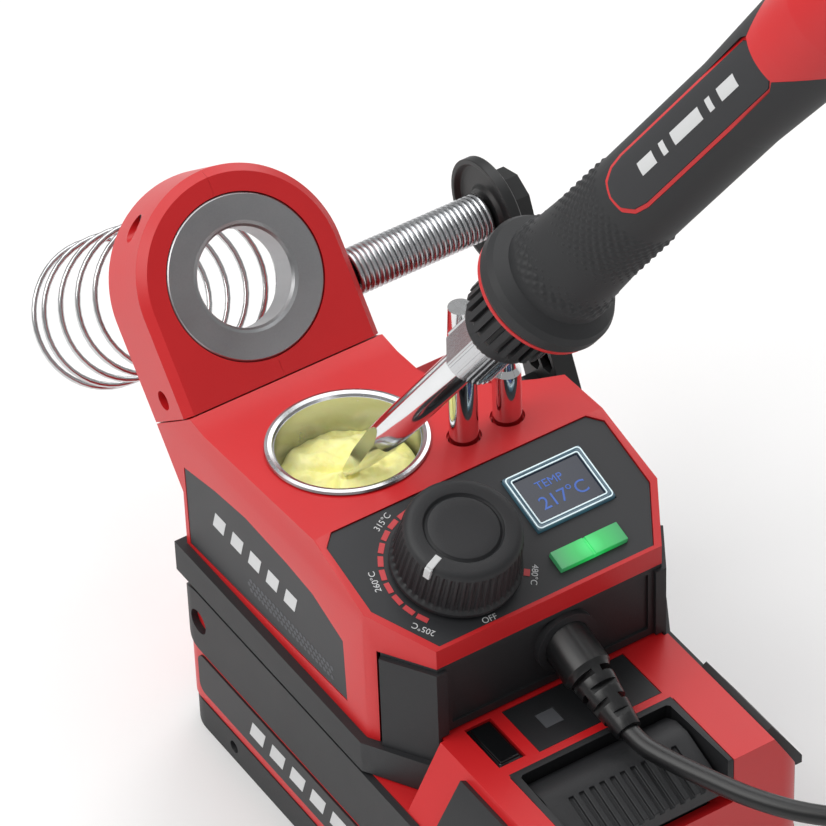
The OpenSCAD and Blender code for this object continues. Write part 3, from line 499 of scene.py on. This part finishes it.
def prism(name, outline, low, high, radius=0.0):
    # an outline of (x, y) in mm, given thickness from low to high
    work = bmesh.new()
    bottom = [work.verts.new((x * mm, y * mm, low * mm)) for x, y in outline]
    top = [work.verts.new((x * mm, y * mm, high * mm)) for x, y in outline]
    count = len(outline)
    work.faces.new(list(reversed(bottom)))
    work.faces.new(top)
    for k in range(count):
        n = (k + 1) % count
        work.faces.new((bottom[k], bottom[n], top[n], top[k]))
    if radius:
        edges = [e for e in work.edges if all(v in top for v in e.verts)]
        bmesh.ops.bevel(work, geom=edges, offset=radius * mm, segments=2, profile=0.5, affect="EDGES")
    return meshFrom(work, name)


def placed(mesh, matrix):
    mesh.transform(matrix)
    return mesh


def raisedText(name, words, capHeight, place, material, depth=0.03):
    curve = bpy.data.curves.new(name, "FONT")
    curve.body = words
    curve.size = capHeight / 0.7 * mm        # capitals fill about 0.7 of the font's size
    curve.extrude = depth / 2 * mm
    curve.align_x = "CENTER"
    curve.align_y = "CENTER"
    holder = bpy.data.objects.new(name + "Curve", curve)
    scene.collection.objects.link(holder)
    mesh = bpy.data.meshes.new_from_object(holder.evaluated_get(bpy.context.evaluated_depsgraph_get()))
    bpy.data.objects.remove(holder)
    bpy.data.curves.remove(curve)
    mesh.name = name
    return pieceFromMesh(name, placed(mesh, place), material)


def joined(name, meshes, material):
    work = bmesh.new()
    for mesh in meshes:
        work.from_mesh(mesh)
        bpy.data.meshes.remove(mesh)
    mesh = bpy.data.meshes.new(name)
    work.to_mesh(mesh)
    work.free()
    return pieceFromMesh(name, mesh, material)


def makeRepeatTree():
    # repeats the modifier's own mesh: each copy is moved by one more Step and turned by one more Turn
    tree = bpy.data.node_groups.new("repeatedPieces", "GeometryNodeTree")
    tree.interface.new_socket(name="Geometry", in_out="OUTPUT", socket_type="NodeSocketGeometry")
    tree.interface.new_socket(name="Geometry", in_out="INPUT", socket_type="NodeSocketGeometry")
    keys = {}
    inputs = {"Count": "NodeSocketInt", "Step": "NodeSocketVector", "Turn": "NodeSocketVector",
              "Finish": "NodeSocketMaterial"}
    for label, kind in inputs.items():
        keys[label] = tree.interface.new_socket(name=label, in_out="INPUT", socket_type=kind).identifier
    start = addNode(tree, "NodeGroupInput")
    line = addNode(tree, "GeometryNodeMeshLine", {}, {"Count": (start, "Count"), "Offset": (start, "Step")},
                   mode="OFFSET")
    index = addNode(tree, "GeometryNodeInputIndex")
    turn = addNode(tree, "ShaderNodeVectorMath", {}, {0: (start, "Turn"), "Scale": (index, 0)},
                   operation="SCALE")
    copies = addNode(tree, "GeometryNodeInstanceOnPoints", {},
                     {"Points": (line, 0), "Instance": (start, "Geometry"), "Rotation": (turn, 0)})
    solid = addNode(tree, "GeometryNodeRealizeInstances", {}, {"Geometry": (copies, 0)})
    painted = addNode(tree, "GeometryNodeSetMaterial", {},
                      {"Geometry": (solid, 0), "Material": (start, "Finish")})
    addNode(tree, "NodeGroupOutput", {}, {"Geometry": (painted, 0)})
    return tree, keys


repeatTree, repeatKeys = makeRepeatTree()


def repeated(name, unit, count, material, place, step=(0, 0, 0), turn=(0, 0, 0)):
    # step in mm and turn in radians, in the unit's own frame; `place` then sets the row on the object
    piece = pieceFromMesh(name, unit, material)
    nodes = piece.modifiers.new("repeat", "NODES")
    nodes.node_group = repeatTree
    nodes[repeatKeys["Count"]] = count
    nodes[repeatKeys["Step"]] = tuple(Vector(step) * mm)
    nodes[repeatKeys["Turn"]] = turn
    nodes[repeatKeys["Finish"]] = material
    applied(piece)
    piece.data.transform(place)
    return piece


dialLook = {
    # each label: words, distance from the dial's middle in mm, place round it and own turn in degrees
    "ribs": 48, "ribDepth": 0.42, "ribFrom": 2.3, "ribTo": 11.4, "pointerAngle": 203, "pointerWide": 1.5,
    "labels": (("205\u00b0C", 17.4, -144, 0), ("260\u00b0C", 17.2, 167, 0), ("315\u00b0C", 17.2, 117, 0),
               ("480\u00b0C", 16.2, -37, 0), ("OFF", 14.4, -93.5, 180)),
    "labelHeight": 1.35, "filmTop": -0.37,
}


def makeDialKnob(look):
    # from the shaft up: skirt, ribbed flank, rounded shoulder, groove and finger dish
    profile = [(0, -12), (3, -12), (3, 0.3)]
    profile += [(13.2, 0.3), (13.6, 0.5), (13.7, 0.9), (13.65, 1.5), (13.35, 1.9), (13.2, 2.3)]
    profile += [(13.1, 2.7), (13.0, 4), (12.85, 6), (12.7, 8), (12.5, 10.4), (12.4, 11)]
    profile += [(12.25, 11.6), (12.0, 12.2), (11.6, 12.7), (11.0, 12.96), (10.4, 13), (8.6, 13)]
    profile += [(8.35, 12.92), (8.15, 12.5), (7.9, 12.32), (7.6, 12.5), (7.35, 12.85), (7.0, 12.95)]
    profile += [(5, 12.9), (0, 12.8)]

    def ribs(angle, row):
        height = profile[row][1]
        ring = profile[row][0]
        if ring < 12 or not look["ribFrom"] <= height <= look["ribTo"]:
            return 0
        wave = math.cos(angle * look["ribs"])
        return -look["ribDepth"] * (0.5 - 0.5 * max(-1, min(1, 1.8 * wave)))

    mesh = placed(turned("dialKnob", profile, look["ribs"] * 8, ribs), dialFrame)
    knob = pieceFromMesh("dialKnob", smoothed(mesh, 30), blackAbs)
    finishPiece(knob, "dial", nodeSlot["dial_knob"], "dial_knob")
    half = look["pointerWide"] / 2
    bar = roundedBox("dialPointer", (8.9, -half, 12.6), (12.3, half, 13.08), 0.12)
    drop = roundedBox("dialPointerEdge", (11.9, -half, 9.6), (12.86, half, 12.7), 0.12)
    turn = dialFrame @ Matrix.Rotation(math.radians(look["pointerAngle"]), 4, "Z")
    pointer = joined("dialPointer", [bar, drop], whiteInk)
    pointer.data.transform(turn)
    finishPiece(pointer, "dial", "dark_film")


def makeDialLabels(look):
    for number, (words, ring, degrees, own) in enumerate(look["labels"]):
        around = Matrix.Rotation(math.radians(degrees - 90), 4, "Z")
        out = Matrix.Translation((0, ring * mm, look["filmTop"] * mm))
        place = dialFrame @ around @ out @ Matrix.Rotation(math.radians(own), 4, "Z")
        piece = raisedText("dialLabel%d" % number, words, look["labelHeight"], place, whiteInk)
        finishPiece(piece, "station", "red_print")


makeDialKnob(dialLook)
makeDialLabels(dialLook)
print("dial done")


# each line: words, right and up of the glass's middle, height of the capitals, all in mm
displayLook = {
    "lines": (("TEMP", -0.8, 2.4, 1.9), ("217\u00b0C", 0.2, -1.8, 3.1)), "lift": 0.03, "depth": 0.04,
}


def makeDisplay(look):
    middle = dialFrame.inverted() @ boxMiddle("display_glass")
    for number, (words, right, up, cap) in enumerate(look["lines"]):
        spot = (middle.x + right * mm, middle.y + up * mm, look["lift"] * mm)
        place = dialFrame @ Matrix.Translation(spot)
        piece = raisedText("displayLine%d" % number, words, cap, place, litSegments, look["depth"])
        finishPiece(piece, "station", "display_blue")


makeDisplay(displayLook)

# the pane's painted highlight lines: half sizes and corner radius of the outer and the inner line, in mm
paneHighlightLook = {"wide": 0.28, "low": 0.46, "high": 0.58, "lines": ((9.3, 6.85, 1.0), (8.35, 5.9, 0.6))}


def roundedLoop(halfLong, halfHigh, corner, steps=6):
    out = []
    for cx, cy, start in ((1, 1, 0), (-1, 1, 90), (-1, -1, 180), (1, -1, 270)):
        for i in range(steps + 1):
            angle = math.radians(start + 90 * i / steps)
            out.append((cx * (halfLong - corner) + corner * math.cos(angle),
                        cy * (halfHigh - corner) + corner * math.sin(angle)))
    return out


def makePaneHighlights(look):
    # glowing bands along the pane's edges: painted highlight
    middle = dialFrame.inverted() @ boxMiddle("display_frame")
    wide, low, high = look["wide"], look["low"], look["high"]
    bands = []
    for halfLong, halfHigh, corner in look["lines"]:
        outer = roundedLoop(halfLong, halfHigh, corner)
        inner = roundedLoop(halfLong - wide, halfHigh - wide, corner - wide)
        loops = ((outer, low), (outer, high), (inner, high), (inner, low))
        points = [[Vector((x, y, z)) * mm for x, y in line] for line, z in loops]
        bands.append(closedBand("paintedPaneHighlight", points))
    piece = joined("paintedPaneHighlights", bands, paintedPaneHighlight)
    piece.data.transform(dialFrame @ Matrix.Translation((middle.x, middle.y, 0)))
    finishPiece(piece, "station", "display_clear")


makePaneHighlights(paneHighlightLook)


spongeLook = {
    "outer": 14.9, "crown": 6.4, "edge": 4.2, "bottom": -11.2, "sides": 132, "crownRings": 29, "tear": 2.2,
    # each lump: how many to a metre, and how high in mm
    "lumps": ((230, 1.3), (620, 0.5), (1500, 0.2)),
    # the dent that the iron's tip makes: its radius at the tip, how fast it widens, how much it is deepened
    "tipClear": 1.6, "tipFlare": 0.26, "tipPress": 1.4,
}


def makeSpongePad(look):
    # a torn, crumpled pad low in the cup, dented where the tip is wiped
    outer, bottom, edge, rings = look["outer"], look["bottom"], look["edge"], look["crownRings"]
    rise = look["crown"] - edge
    profile = [(0, bottom), (outer - 0.4, bottom), (outer, bottom + 0.6)]
    profile += [(outer, bottom + 1 + i * 2.6) for i in range(5)]
    profile += [(outer - 0.1, edge - 0.6), (outer - 0.5, edge)]
    profile += [(outer - 0.5 - 0.48 * i, edge + rise * math.sin(math.pi / 2 * i / rings))
                for i in range(1, rings + 1)]
    profile += [(0, look["crown"])]
    work = bmesh.new()
    work.from_mesh(turned("spongePad", profile, look["sides"]))
    inverse = ironFrame.inverted()
    for v in work.verts:
        ring = math.hypot(v.co.x, v.co.y) / mm
        if v.co.z / mm < edge - 1:
            continue
        lump = sum(noise.noise(v.co * often) * high for often, high in look["lumps"])
        v.co.z += lump * mm * min(1, (outer - ring) / 1.5 + 0.35)
        tear = (v.co.x * 0.5 + v.co.y * 0.87) / mm + 1.4 * noise.noise(v.co * 170)        # a ragged line
        v.co.z -= look["tear"] * mm * math.exp(-(tear / 0.9) ** 2) * max(0, 1 - ring / 12)
        local = inverse @ (cupFrame @ v.co)
        clear = (look["tipClear"] + max(0.0, local.z / mm) * look["tipFlare"]) * mm
        aside = math.hypot(local.x, local.y)
        if local.z > -2 * mm and aside < clear:
            v.co.z -= (clear - aside) * look["tipPress"]
    mesh = meshFrom(work, "spongePad")
    piece = pieceFromMesh("spongePad", smoothed(placed(mesh, cupFrame), 60), yellowSponge)
    finishPiece(piece, "station", "yellow_sponge", "cleaning_sponge")


makeSpongePad(spongeLook)
print("sponge done")


gripLook = {"from": 85.6, "to": 115.4, "row": 0.29, "around": 30, "pitch": 2.3, "height": 0.4, "skin": 0.06,
            "fade": 3.0, "sunk": 0.2}


def gripRadius(height):
    # the handle's own outline between the finger guard and the badge, in mm
    rows = ((84.8, 11.6), (87, 11.6), (90.5, 10.5), (96, 10), (150, 10))
    if height < 87:
        return 11.6
    for (h0, r0), (h1, r1) in zip(rows, rows[1:]):
        if height <= h1:
            return r0 + (r1 - r0) * (height - h0) / (h1 - h0)
    return 10


def makeGripTexture(look):
    # small raised diamonds, fading out at both ends of the grip
    rowCount = int((look["to"] - look["from"]) / look["row"]) + 1
    heights = [look["from"] + look["row"] * i for i in range(rowCount)]
    outside = [(gripRadius(h) + look["skin"], h) for h in heights]
    profile = [(outside[0][0] - 0.4, heights[0])] + outside + [(outside[-1][0] - 0.4, heights[-1])]

    def diamonds(angle, row):
        height = profile[row][1]
        edge = min(height - look["from"], look["to"] - height, look["fade"]) / look["fade"]
        if row in (0, len(profile) - 1) or edge <= 0:
            return -look["sunk"]
        around = look["around"] * angle / (2 * math.pi)
        u, v = (around + height / look["pitch"]) % 1, (around - height / look["pitch"]) % 1
        peak = (1 - abs(2 * u - 1)) * (1 - abs(2 * v - 1))
        return look["height"] * min(1, 1.5 * peak) * edge - look["sunk"] * (1 - edge)

    work = bmesh.new()
    mesh = turned("gripDiamonds", profile + [profile[0]], look["around"] * 8,
                  lambda angle, row: diamonds(angle, row % len(profile)))
    work.from_mesh(mesh)
    bpy.data.meshes.remove(mesh)
    bmesh.ops.remove_doubles(work, verts=work.verts, dist=1e-7)
    mesh = smoothed(placed(meshFrom(work, "gripDiamonds"), ironFrame), 50)
    finishPiece(pieceFromMesh("gripDiamonds", mesh, gripRubber), "iron", "black_rubber")


makeGripTexture(gripLook)

# each bar runs between two heights along the handle, in mm
badgeLook = {"ring": 10.27, "thick": 0.06, "half": 1.35, "steps": 8,
             "bars": ((128, 133), (135.4, 137), (139.4, 149), (151.4, 153), (155.4, 161))}


def makeBadgeBars(look):
    # plain pale bars that follow the badge's round face
    bars = []
    steps, half = look["steps"], look["half"]
    for low, high in look["bars"]:
        work = bmesh.new()
        rows = []
        for height in (low, high):
            for ring in (look["ring"], look["ring"] - look["thick"]):
                angles = [(-half + 2 * half * k / steps) / ring for k in range(steps + 1)]
                rows.append([work.verts.new(Vector((ring * math.cos(a), ring * math.sin(a), height)) * mm)
                             for a in angles])
        for a, b in ((0, 2), (1, 3), (0, 1), (2, 3)):
            for k in range(steps):
                work.faces.new((rows[a][k], rows[a][k + 1], rows[b][k + 1], rows[b][k]))
        for k in (0, steps):
            work.faces.new((rows[0][k], rows[1][k], rows[3][k], rows[2][k]))
        bars.append(meshFrom(work, "badgeBar"))
    piece = joined("badgeBars", bars, whiteInk)
    piece.data.transform(ironFrame @ Matrix.Rotation(labelTurn, 4, "Z"))
    finishPiece(piece, "iron", "label_film")


makeBadgeBars(badgeLook)
print("grip done")


def sweepTube(name, path, radius, sides, material):
    # one tube along the path, its rings carried without twist
    work = bmesh.new()
    count = len(path)
    tangent = [((path[min(i + 1, count - 1)] - path[max(i - 1, 0)]).normalized()) for i in range(count)]
    side = tangent[0].orthogonal().normalized()
    rings = []
    for i in range(count):
        side = (side - tangent[i] * side.dot(tangent[i])).normalized()
        across = tangent[i].cross(side)
        rings.append([work.verts.new(path[i] + radius * (math.cos(2 * math.pi * k / sides) * side
                      + math.sin(2 * math.pi * k / sides) * across)) for k in range(sides)])
    for i in range(count - 1):
        for k in range(sides):
            n = (k + 1) % sides
            work.faces.new((rings[i][k], rings[i][n], rings[i + 1][n], rings[i + 1][k]))
    work.faces.new(list(reversed(rings[0])))
    work.faces.new(rings[-1])
    mesh = meshFrom(work, name)
    return pieceFromMesh(name, smoothed(mesh, 50), material)


springLook = {
    "wire": 1.3, "turns": 10, "steps": 44, "closeRadius": 13.05, "wideRadius": 16.5,
    "widensAt": 2.5, "widensOver": 0.8, "closeTurns": 2.6,
    "closePitch": 5.2, "openPitch": 11.2, "endPitch": 1.6,
    "start": 1.25, "sag": 3.4, "length": 88.0, "sagFrom": -3.2,
}


def makeSpring(look):
    # close turns behind the ring, then wide open ones that sag a little, the last one closed
    path = []
    for i in range(look["turns"] * look["steps"] + 1):
        t = i / look["steps"]
        grow = min(1, max(0, (t - look["widensAt"]) / look["widensOver"]))
        ring = look["closeRadius"] + (look["wideRadius"] - look["closeRadius"]) * grow
        depth = (look["closePitch"] * min(t, look["closeTurns"])
                 + look["openPitch"] * max(0, min(t, look["turns"] - 1) - look["closeTurns"])
                 + look["endPitch"] * max(0, t - look["turns"] + 1))
        sag = look["sag"] * ((depth - look["sagFrom"]) / look["length"]) ** 2
        angle = 2 * math.pi * t
        path.append(restFrame @ (Vector((ring * math.cos(angle), ring * math.sin(angle) - sag,
                                         look["start"] - depth)) * mm))
    piece = sweepTube("restSpring", path, look["wire"] / 2 * mm, 12, springSteel)
    finishPiece(piece, "station", "chrome", "rest_spring")


makeSpring(springLook)

solderLook = {"wire": 1.2, "pitch": 1.21, "ring": 4.7, "steps": 28}


def makeSolder(look):
    # one layer of wire, wound side by side along the axle
    low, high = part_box("solder_winding")
    axle = Vector(jointRows["spool_spin"]["pos_m"])
    first, last = low[0] / mm + look["wire"] / 2, high[0] / mm - look["wire"] / 2
    turns = (last - first) / look["pitch"]
    path = []
    for i in range(int(turns * look["steps"]) + 1):
        t = i / look["steps"]
        angle = 2 * math.pi * t
        path.append(Vector((first + look["pitch"] * t, axle.y / mm + look["ring"] * math.cos(angle),
                            axle.z / mm + look["ring"] * math.sin(angle))) * mm)
    piece = sweepTube("solderWire", path, look["wire"] / 2 * mm, 10, tinWire)
    finishPiece(piece, "solder_spool", "solder_tin", "solder_winding")


makeSolder(solderLook)
print("spring and solder done")


packLabelLook = {"bars": 7, "barLong": 5.2, "barHigh": 4.6, "slant": 1.6, "step": 8.0, "firstY": -18.0}
stationLabelLook = {
    "bars": 5, "barLong": 4.2, "barHigh": 4.4, "slant": 1.4, "step": 7.0, "firstY": 16.0, "z": 64.5,
}
hexLook = {"radius": 0.62, "step": 1.5, "rows": 3, "count": 22, "firstY": 2.0, "z": 57.0}
inkThick = 0.05


def sideFrame(side, x, y, z):
    # x forward along the side, y up, z out of the object
    turn = Matrix(((0, 0, side), (side, 0, 0), (0, 1, 0))).to_4x4()
    return Matrix.Translation((x * mm, y * mm, z * mm)) @ turn


def slantedBar(look):
    long, high, slant = look["barLong"], look["barHigh"], look["slant"]
    return prism("slantedBar", [(0, 0), (long, 0), (long + slant, high), (slant, high)], 0, inkThick)


def makeBars(name, look, side, face, z, body):
    # each side's row reads from its own left, so the left side's starts at the far end
    farEnd = look["firstY"] + look["step"] * (look["bars"] - 1) + look["barLong"]
    start = look["firstY"] if side > 0 else farEnd
    piece = repeated(name, slantedBar(look), look["bars"], whiteInk, sideFrame(side, face, start, z),
                     (look["step"], 0, 0))
    finishPiece(piece, body, "label_film")


def makeHexRow(name, look, row, side, face):
    shift = look["firstY"] + look["step"] / 2 * (row % 2)
    start = shift if side > 0 else shift + look["step"] * (look["count"] - 1)
    corners = [math.radians(60 * k) for k in range(6)]
    hexagon = [(look["radius"] * math.cos(a), look["radius"] * math.sin(a)) for a in corners]
    place = sideFrame(side, face, start, look["z"] + row * look["step"] * math.sin(math.radians(60)))
    piece = repeated(name, prism("hexMark", hexagon, 0, inkThick), look["count"], greyInk, place,
                     (look["step"], 0, 0))
    finishPiece(piece, "station", "label_film")


def makeSideMarks():
    packLow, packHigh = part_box("pack_side_plates")
    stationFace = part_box("side_plates")[1][0] / mm
    packZ = (packLow[2] + packHigh[2]) / 2 / mm - packLabelLook["barHigh"] / 2
    stationZ = stationLabelLook["z"]
    for side, word in ((-1, "Left"), (1, "Right")):
        makeBars("packMarks" + word, packLabelLook, side, packHigh[0] / mm * side, packZ, "battery")
        makeBars("stationMarks" + word, stationLabelLook, side, stationFace * side, stationZ, "station")
        for row in range(hexLook["rows"]):
            makeHexRow("hexMarks%s%d" % (word, row), hexLook, row, side, stationFace * side)


makeSideMarks()

windowLook = {"inset": 4.95, "square": 4.3, "thick": 0.2, "sunk": 0.31, "corner": 0.05}


def makeWindowSquare(look):
    # the grey printed square on the charge window
    low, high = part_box("level_window")
    x, y, z = low[0] / mm + look["inset"], low[1] / mm + look["inset"], high[2] / mm - look["sunk"]
    size = (look["square"], look["square"], look["thick"])
    mesh = placed(roundedBox("levelSquare", (0, 0, 0), size, look["corner"]),
                  Matrix.Translation(Vector((x, y, z)) * mm))
    finishPiece(pieceFromMesh("levelSquare", mesh, greyInk), "battery", "dark_film")


makeWindowSquare(windowLook)

latchShadeLook = {"left": -21.95, "right": 17.95, "front": -63.9, "back": -41.7, "rim": 1.45, "backRim": 1.5,
             "top": 57.06, "floor": 48.0, "edge": 0.3, "cut": 0.8}


def makeLatchRecessShade(look):
    # painted shade: a black U-shaped strip lines the latch's recess on its two sides and at the back, where
    # shade falls
    left, right, front, back = look["left"], look["right"], look["front"], look["back"]
    innerLeft, innerRight, innerBack = left + look["rim"], right - look["rim"], back - look["backRim"]
    cut = look["cut"]
    outline = [(left, front), (innerLeft, front), (innerLeft, innerBack - cut), (innerLeft + cut, innerBack),
               (innerRight - cut, innerBack), (innerRight, innerBack - cut), (innerRight, front),
               (right, front), (right, back - 0.05), (left, back - 0.05)]
    mesh = prism("latchRecessPaintedShade", outline, look["floor"], look["top"], look["edge"])
    finishPiece(pieceFromMesh("latchRecessPaintedShade", smoothed(mesh), blackAbs), "battery", "black_plastic")


makeLatchRecessShade(latchShadeLook)
print("marks done")


cordSize = {
    "diameter": 4.2 * mm, "sides": 14, "routeSteps": 5,
    "coilCentre": (118 * mm, -78 * mm), "outerTurn": 25.1 * mm, "innerTurn": 20.9 * mm, "topTurn": 23 * mm,
    "turns": 4.75, "turnSteps": 36, "startDegrees": 270, "lift": 0.1 * mm,
}
# the same route as the frame's solids, in mm: strain relief to coil, and iron's tail to coil
leadRoute = [(3.4, -47.4, 60.2), (4, -53, 59.5), (6.2, -60, 59.4), (9.2, -67.5, 59.4), (13, -76, 59.4),
             (18.5, -85, 59.6), (26, -93.5, 60), (35, -100.5, 58.6), (44.5, -105.5, 52), (53, -108.6, 40),
             (60.5, -110.2, 27), (68, -110.4, 15), (77, -109.2, 6.4), (88, -107, 2.8), (100, -104.8, 2.2),
             (112, -103.3, 2.2)]
tailRoute = [(57, -80.4, 268.3), (61.1, -86.6, 279), (66.4, -94.6, 287.4), (73, -103.6, 290.6),
             (79.6, -111.6, 286.5), (84.6, -116.8, 273), (87.6, -119.4, 250), (89.4, -120.4, 216),
             (90.8, -120.2, 180), (92.2, -118.8, 142), (93.4, -116.4, 104), (94.3, -113.4, 72),
             (94.9, -110, 48), (95.2, -105.6, 31), (95.3, -98, 20.6), (95.2, -88.5, 16.2), (95, -79, 15.4)]


def smoothRoute(points, steps):
    # one smooth curve through the points
    out = []
    last = len(points) - 1
    for i in range(last):
        a, b, c, d = (points[max(i - 1, 0)], points[i], points[i + 1], points[min(i + 2, last)])
        for k in range(steps):
            t = k / steps
            out.append(0.5 * (2 * b + (c - a) * t + (2 * a - 5 * b + 4 * c - d) * t * t
                              + (3 * b - a - 3 * c + d) * t ** 3))
    out.append(points[last])
    return out


def coilPath(size):
    # bottom layer outside to inside, up, back outside, then up again and out over the top
    cx, cy = size["coilCentre"]
    turns, steps = size["turns"], size["turnSteps"]
    r = size["diameter"] / 2
    outer, inner = size["outerTurn"], size["innerTurn"]
    stages = [(0, outer, r), (0.86, outer, r), (1.14, inner, r), (1.86, inner, r), (2.14, inner, 3 * r),
              (2.86, inner, 3 * r), (3.14, outer, 3 * r), (3.8, outer, 3 * r), (4.08, outer, 5 * r),
              (4.5, outer, 5 * r), (turns, size["topTurn"], 7.3 * r)]
    out = []
    for i in range(int(turns * steps) + 1):
        t = i / steps
        for (t0, r0, z0), (t1, r1, z1) in zip(stages, stages[1:]):
            if t <= t1 + 1e-9:
                f = (t - t0) / (t1 - t0)
                f = f * f * (3 - 2 * f)
                ring, height = r0 + (r1 - r0) * f, z0 + (z1 - z0) * f
                break
        angle = math.radians(size["startDegrees"]) + 2 * math.pi * t
        out.append(Vector((cx + ring * math.cos(angle), cy + ring * math.sin(angle), height + size["lift"])))
    return out


lead = smoothRoute([Vector(p) * mm for p in leadRoute], cordSize["routeSteps"])
tail = smoothRoute([Vector(p) * mm for p in reversed(tailRoute)], cordSize["routeSteps"])
coil = coilPath(cordSize)
wholeCord = lead[:-4] + coil[2:-1] + tail[1:]        # the ends overlap by a few points, which are left out
cordLength = sum((b - a).length for a, b in zip(wholeCord, wholeCord[1:]))
print("cord length", round(cordLength, 4))
cordPiece = sweepTube("ironCord", wholeCord, cordSize["diameter"] / 2, cordSize["sides"], cordPvc)
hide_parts("cord_lead", "cord_coil", "cord_tail")
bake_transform(cordPiece)

tieLook = {
    "degrees": 45, "steps": 40,
    "halfWide": 3 * mm, "thick": 0.6 * mm, "slack": 0.3 * mm, "floorGap": 0.02 * mm,
}


def makeCoilTie(size, look):
    # a strap drawn round the coil's turns, pressed into the lowest of them where it runs underneath
    r = size["diameter"] / 2
    outer, inner = size["outerTurn"], size["innerTurn"]
    turns = [Vector(c) for c in ((outer, r), (outer, 5 * r), (inner, r), (inner, 3 * r))]

    def outline(reach, low):
        points = []
        for step in range(look["steps"]):
            angle = 2 * math.pi * step / look["steps"]
            way = Vector((math.cos(angle), math.sin(angle)))
            point = max(turns, key=lambda turn: turn.dot(way)) + way * reach
            points.append((point.x, max(point.y, low)))
        return points

    gap, thick = look["floorGap"], look["thick"]
    outside = outline(r + look["slack"] + thick, gap)
    inside = outline(r + look["slack"], gap + thick)
    around = Matrix.Rotation(math.radians(look["degrees"]), 4, "Z")
    turn = Matrix.Translation((*size["coilCentre"], 0)) @ around
    half = look["halfWide"]
    loops = [[turn @ Vector((x, y, z)) for x, z in line]
             for line, y in ((outside, -half), (outside, half), (inside, half), (inside, -half))]
    piece = pieceFromMesh("coilTie", smoothed(closedBand("coilTie", loops)), blackNylon)
    return finishPiece(piece, "station", "black_plastic")


coilTie = makeCoilTie(cordSize, tieLook)
print("cord done")


benchTop = {"halfWidth": 3.0, "colour": "F7F7F7", "roughness": 0.6}


def makeBench(top):
    mesh = bpy.data.meshes.new("benchTop")
    half = top["halfWidth"]
    corners = [(-half, -half, 0), (half, -half, 0), (half, half, 0), (-half, half, 0)]
    mesh.from_pydata(corners, [], [(0, 1, 2, 3)])
    material, tree, surface = newMaterial("paleBench", top["colour"], top["roughness"])
    pieceFromMesh("benchTop", mesh, material)


makeBench(benchTop)
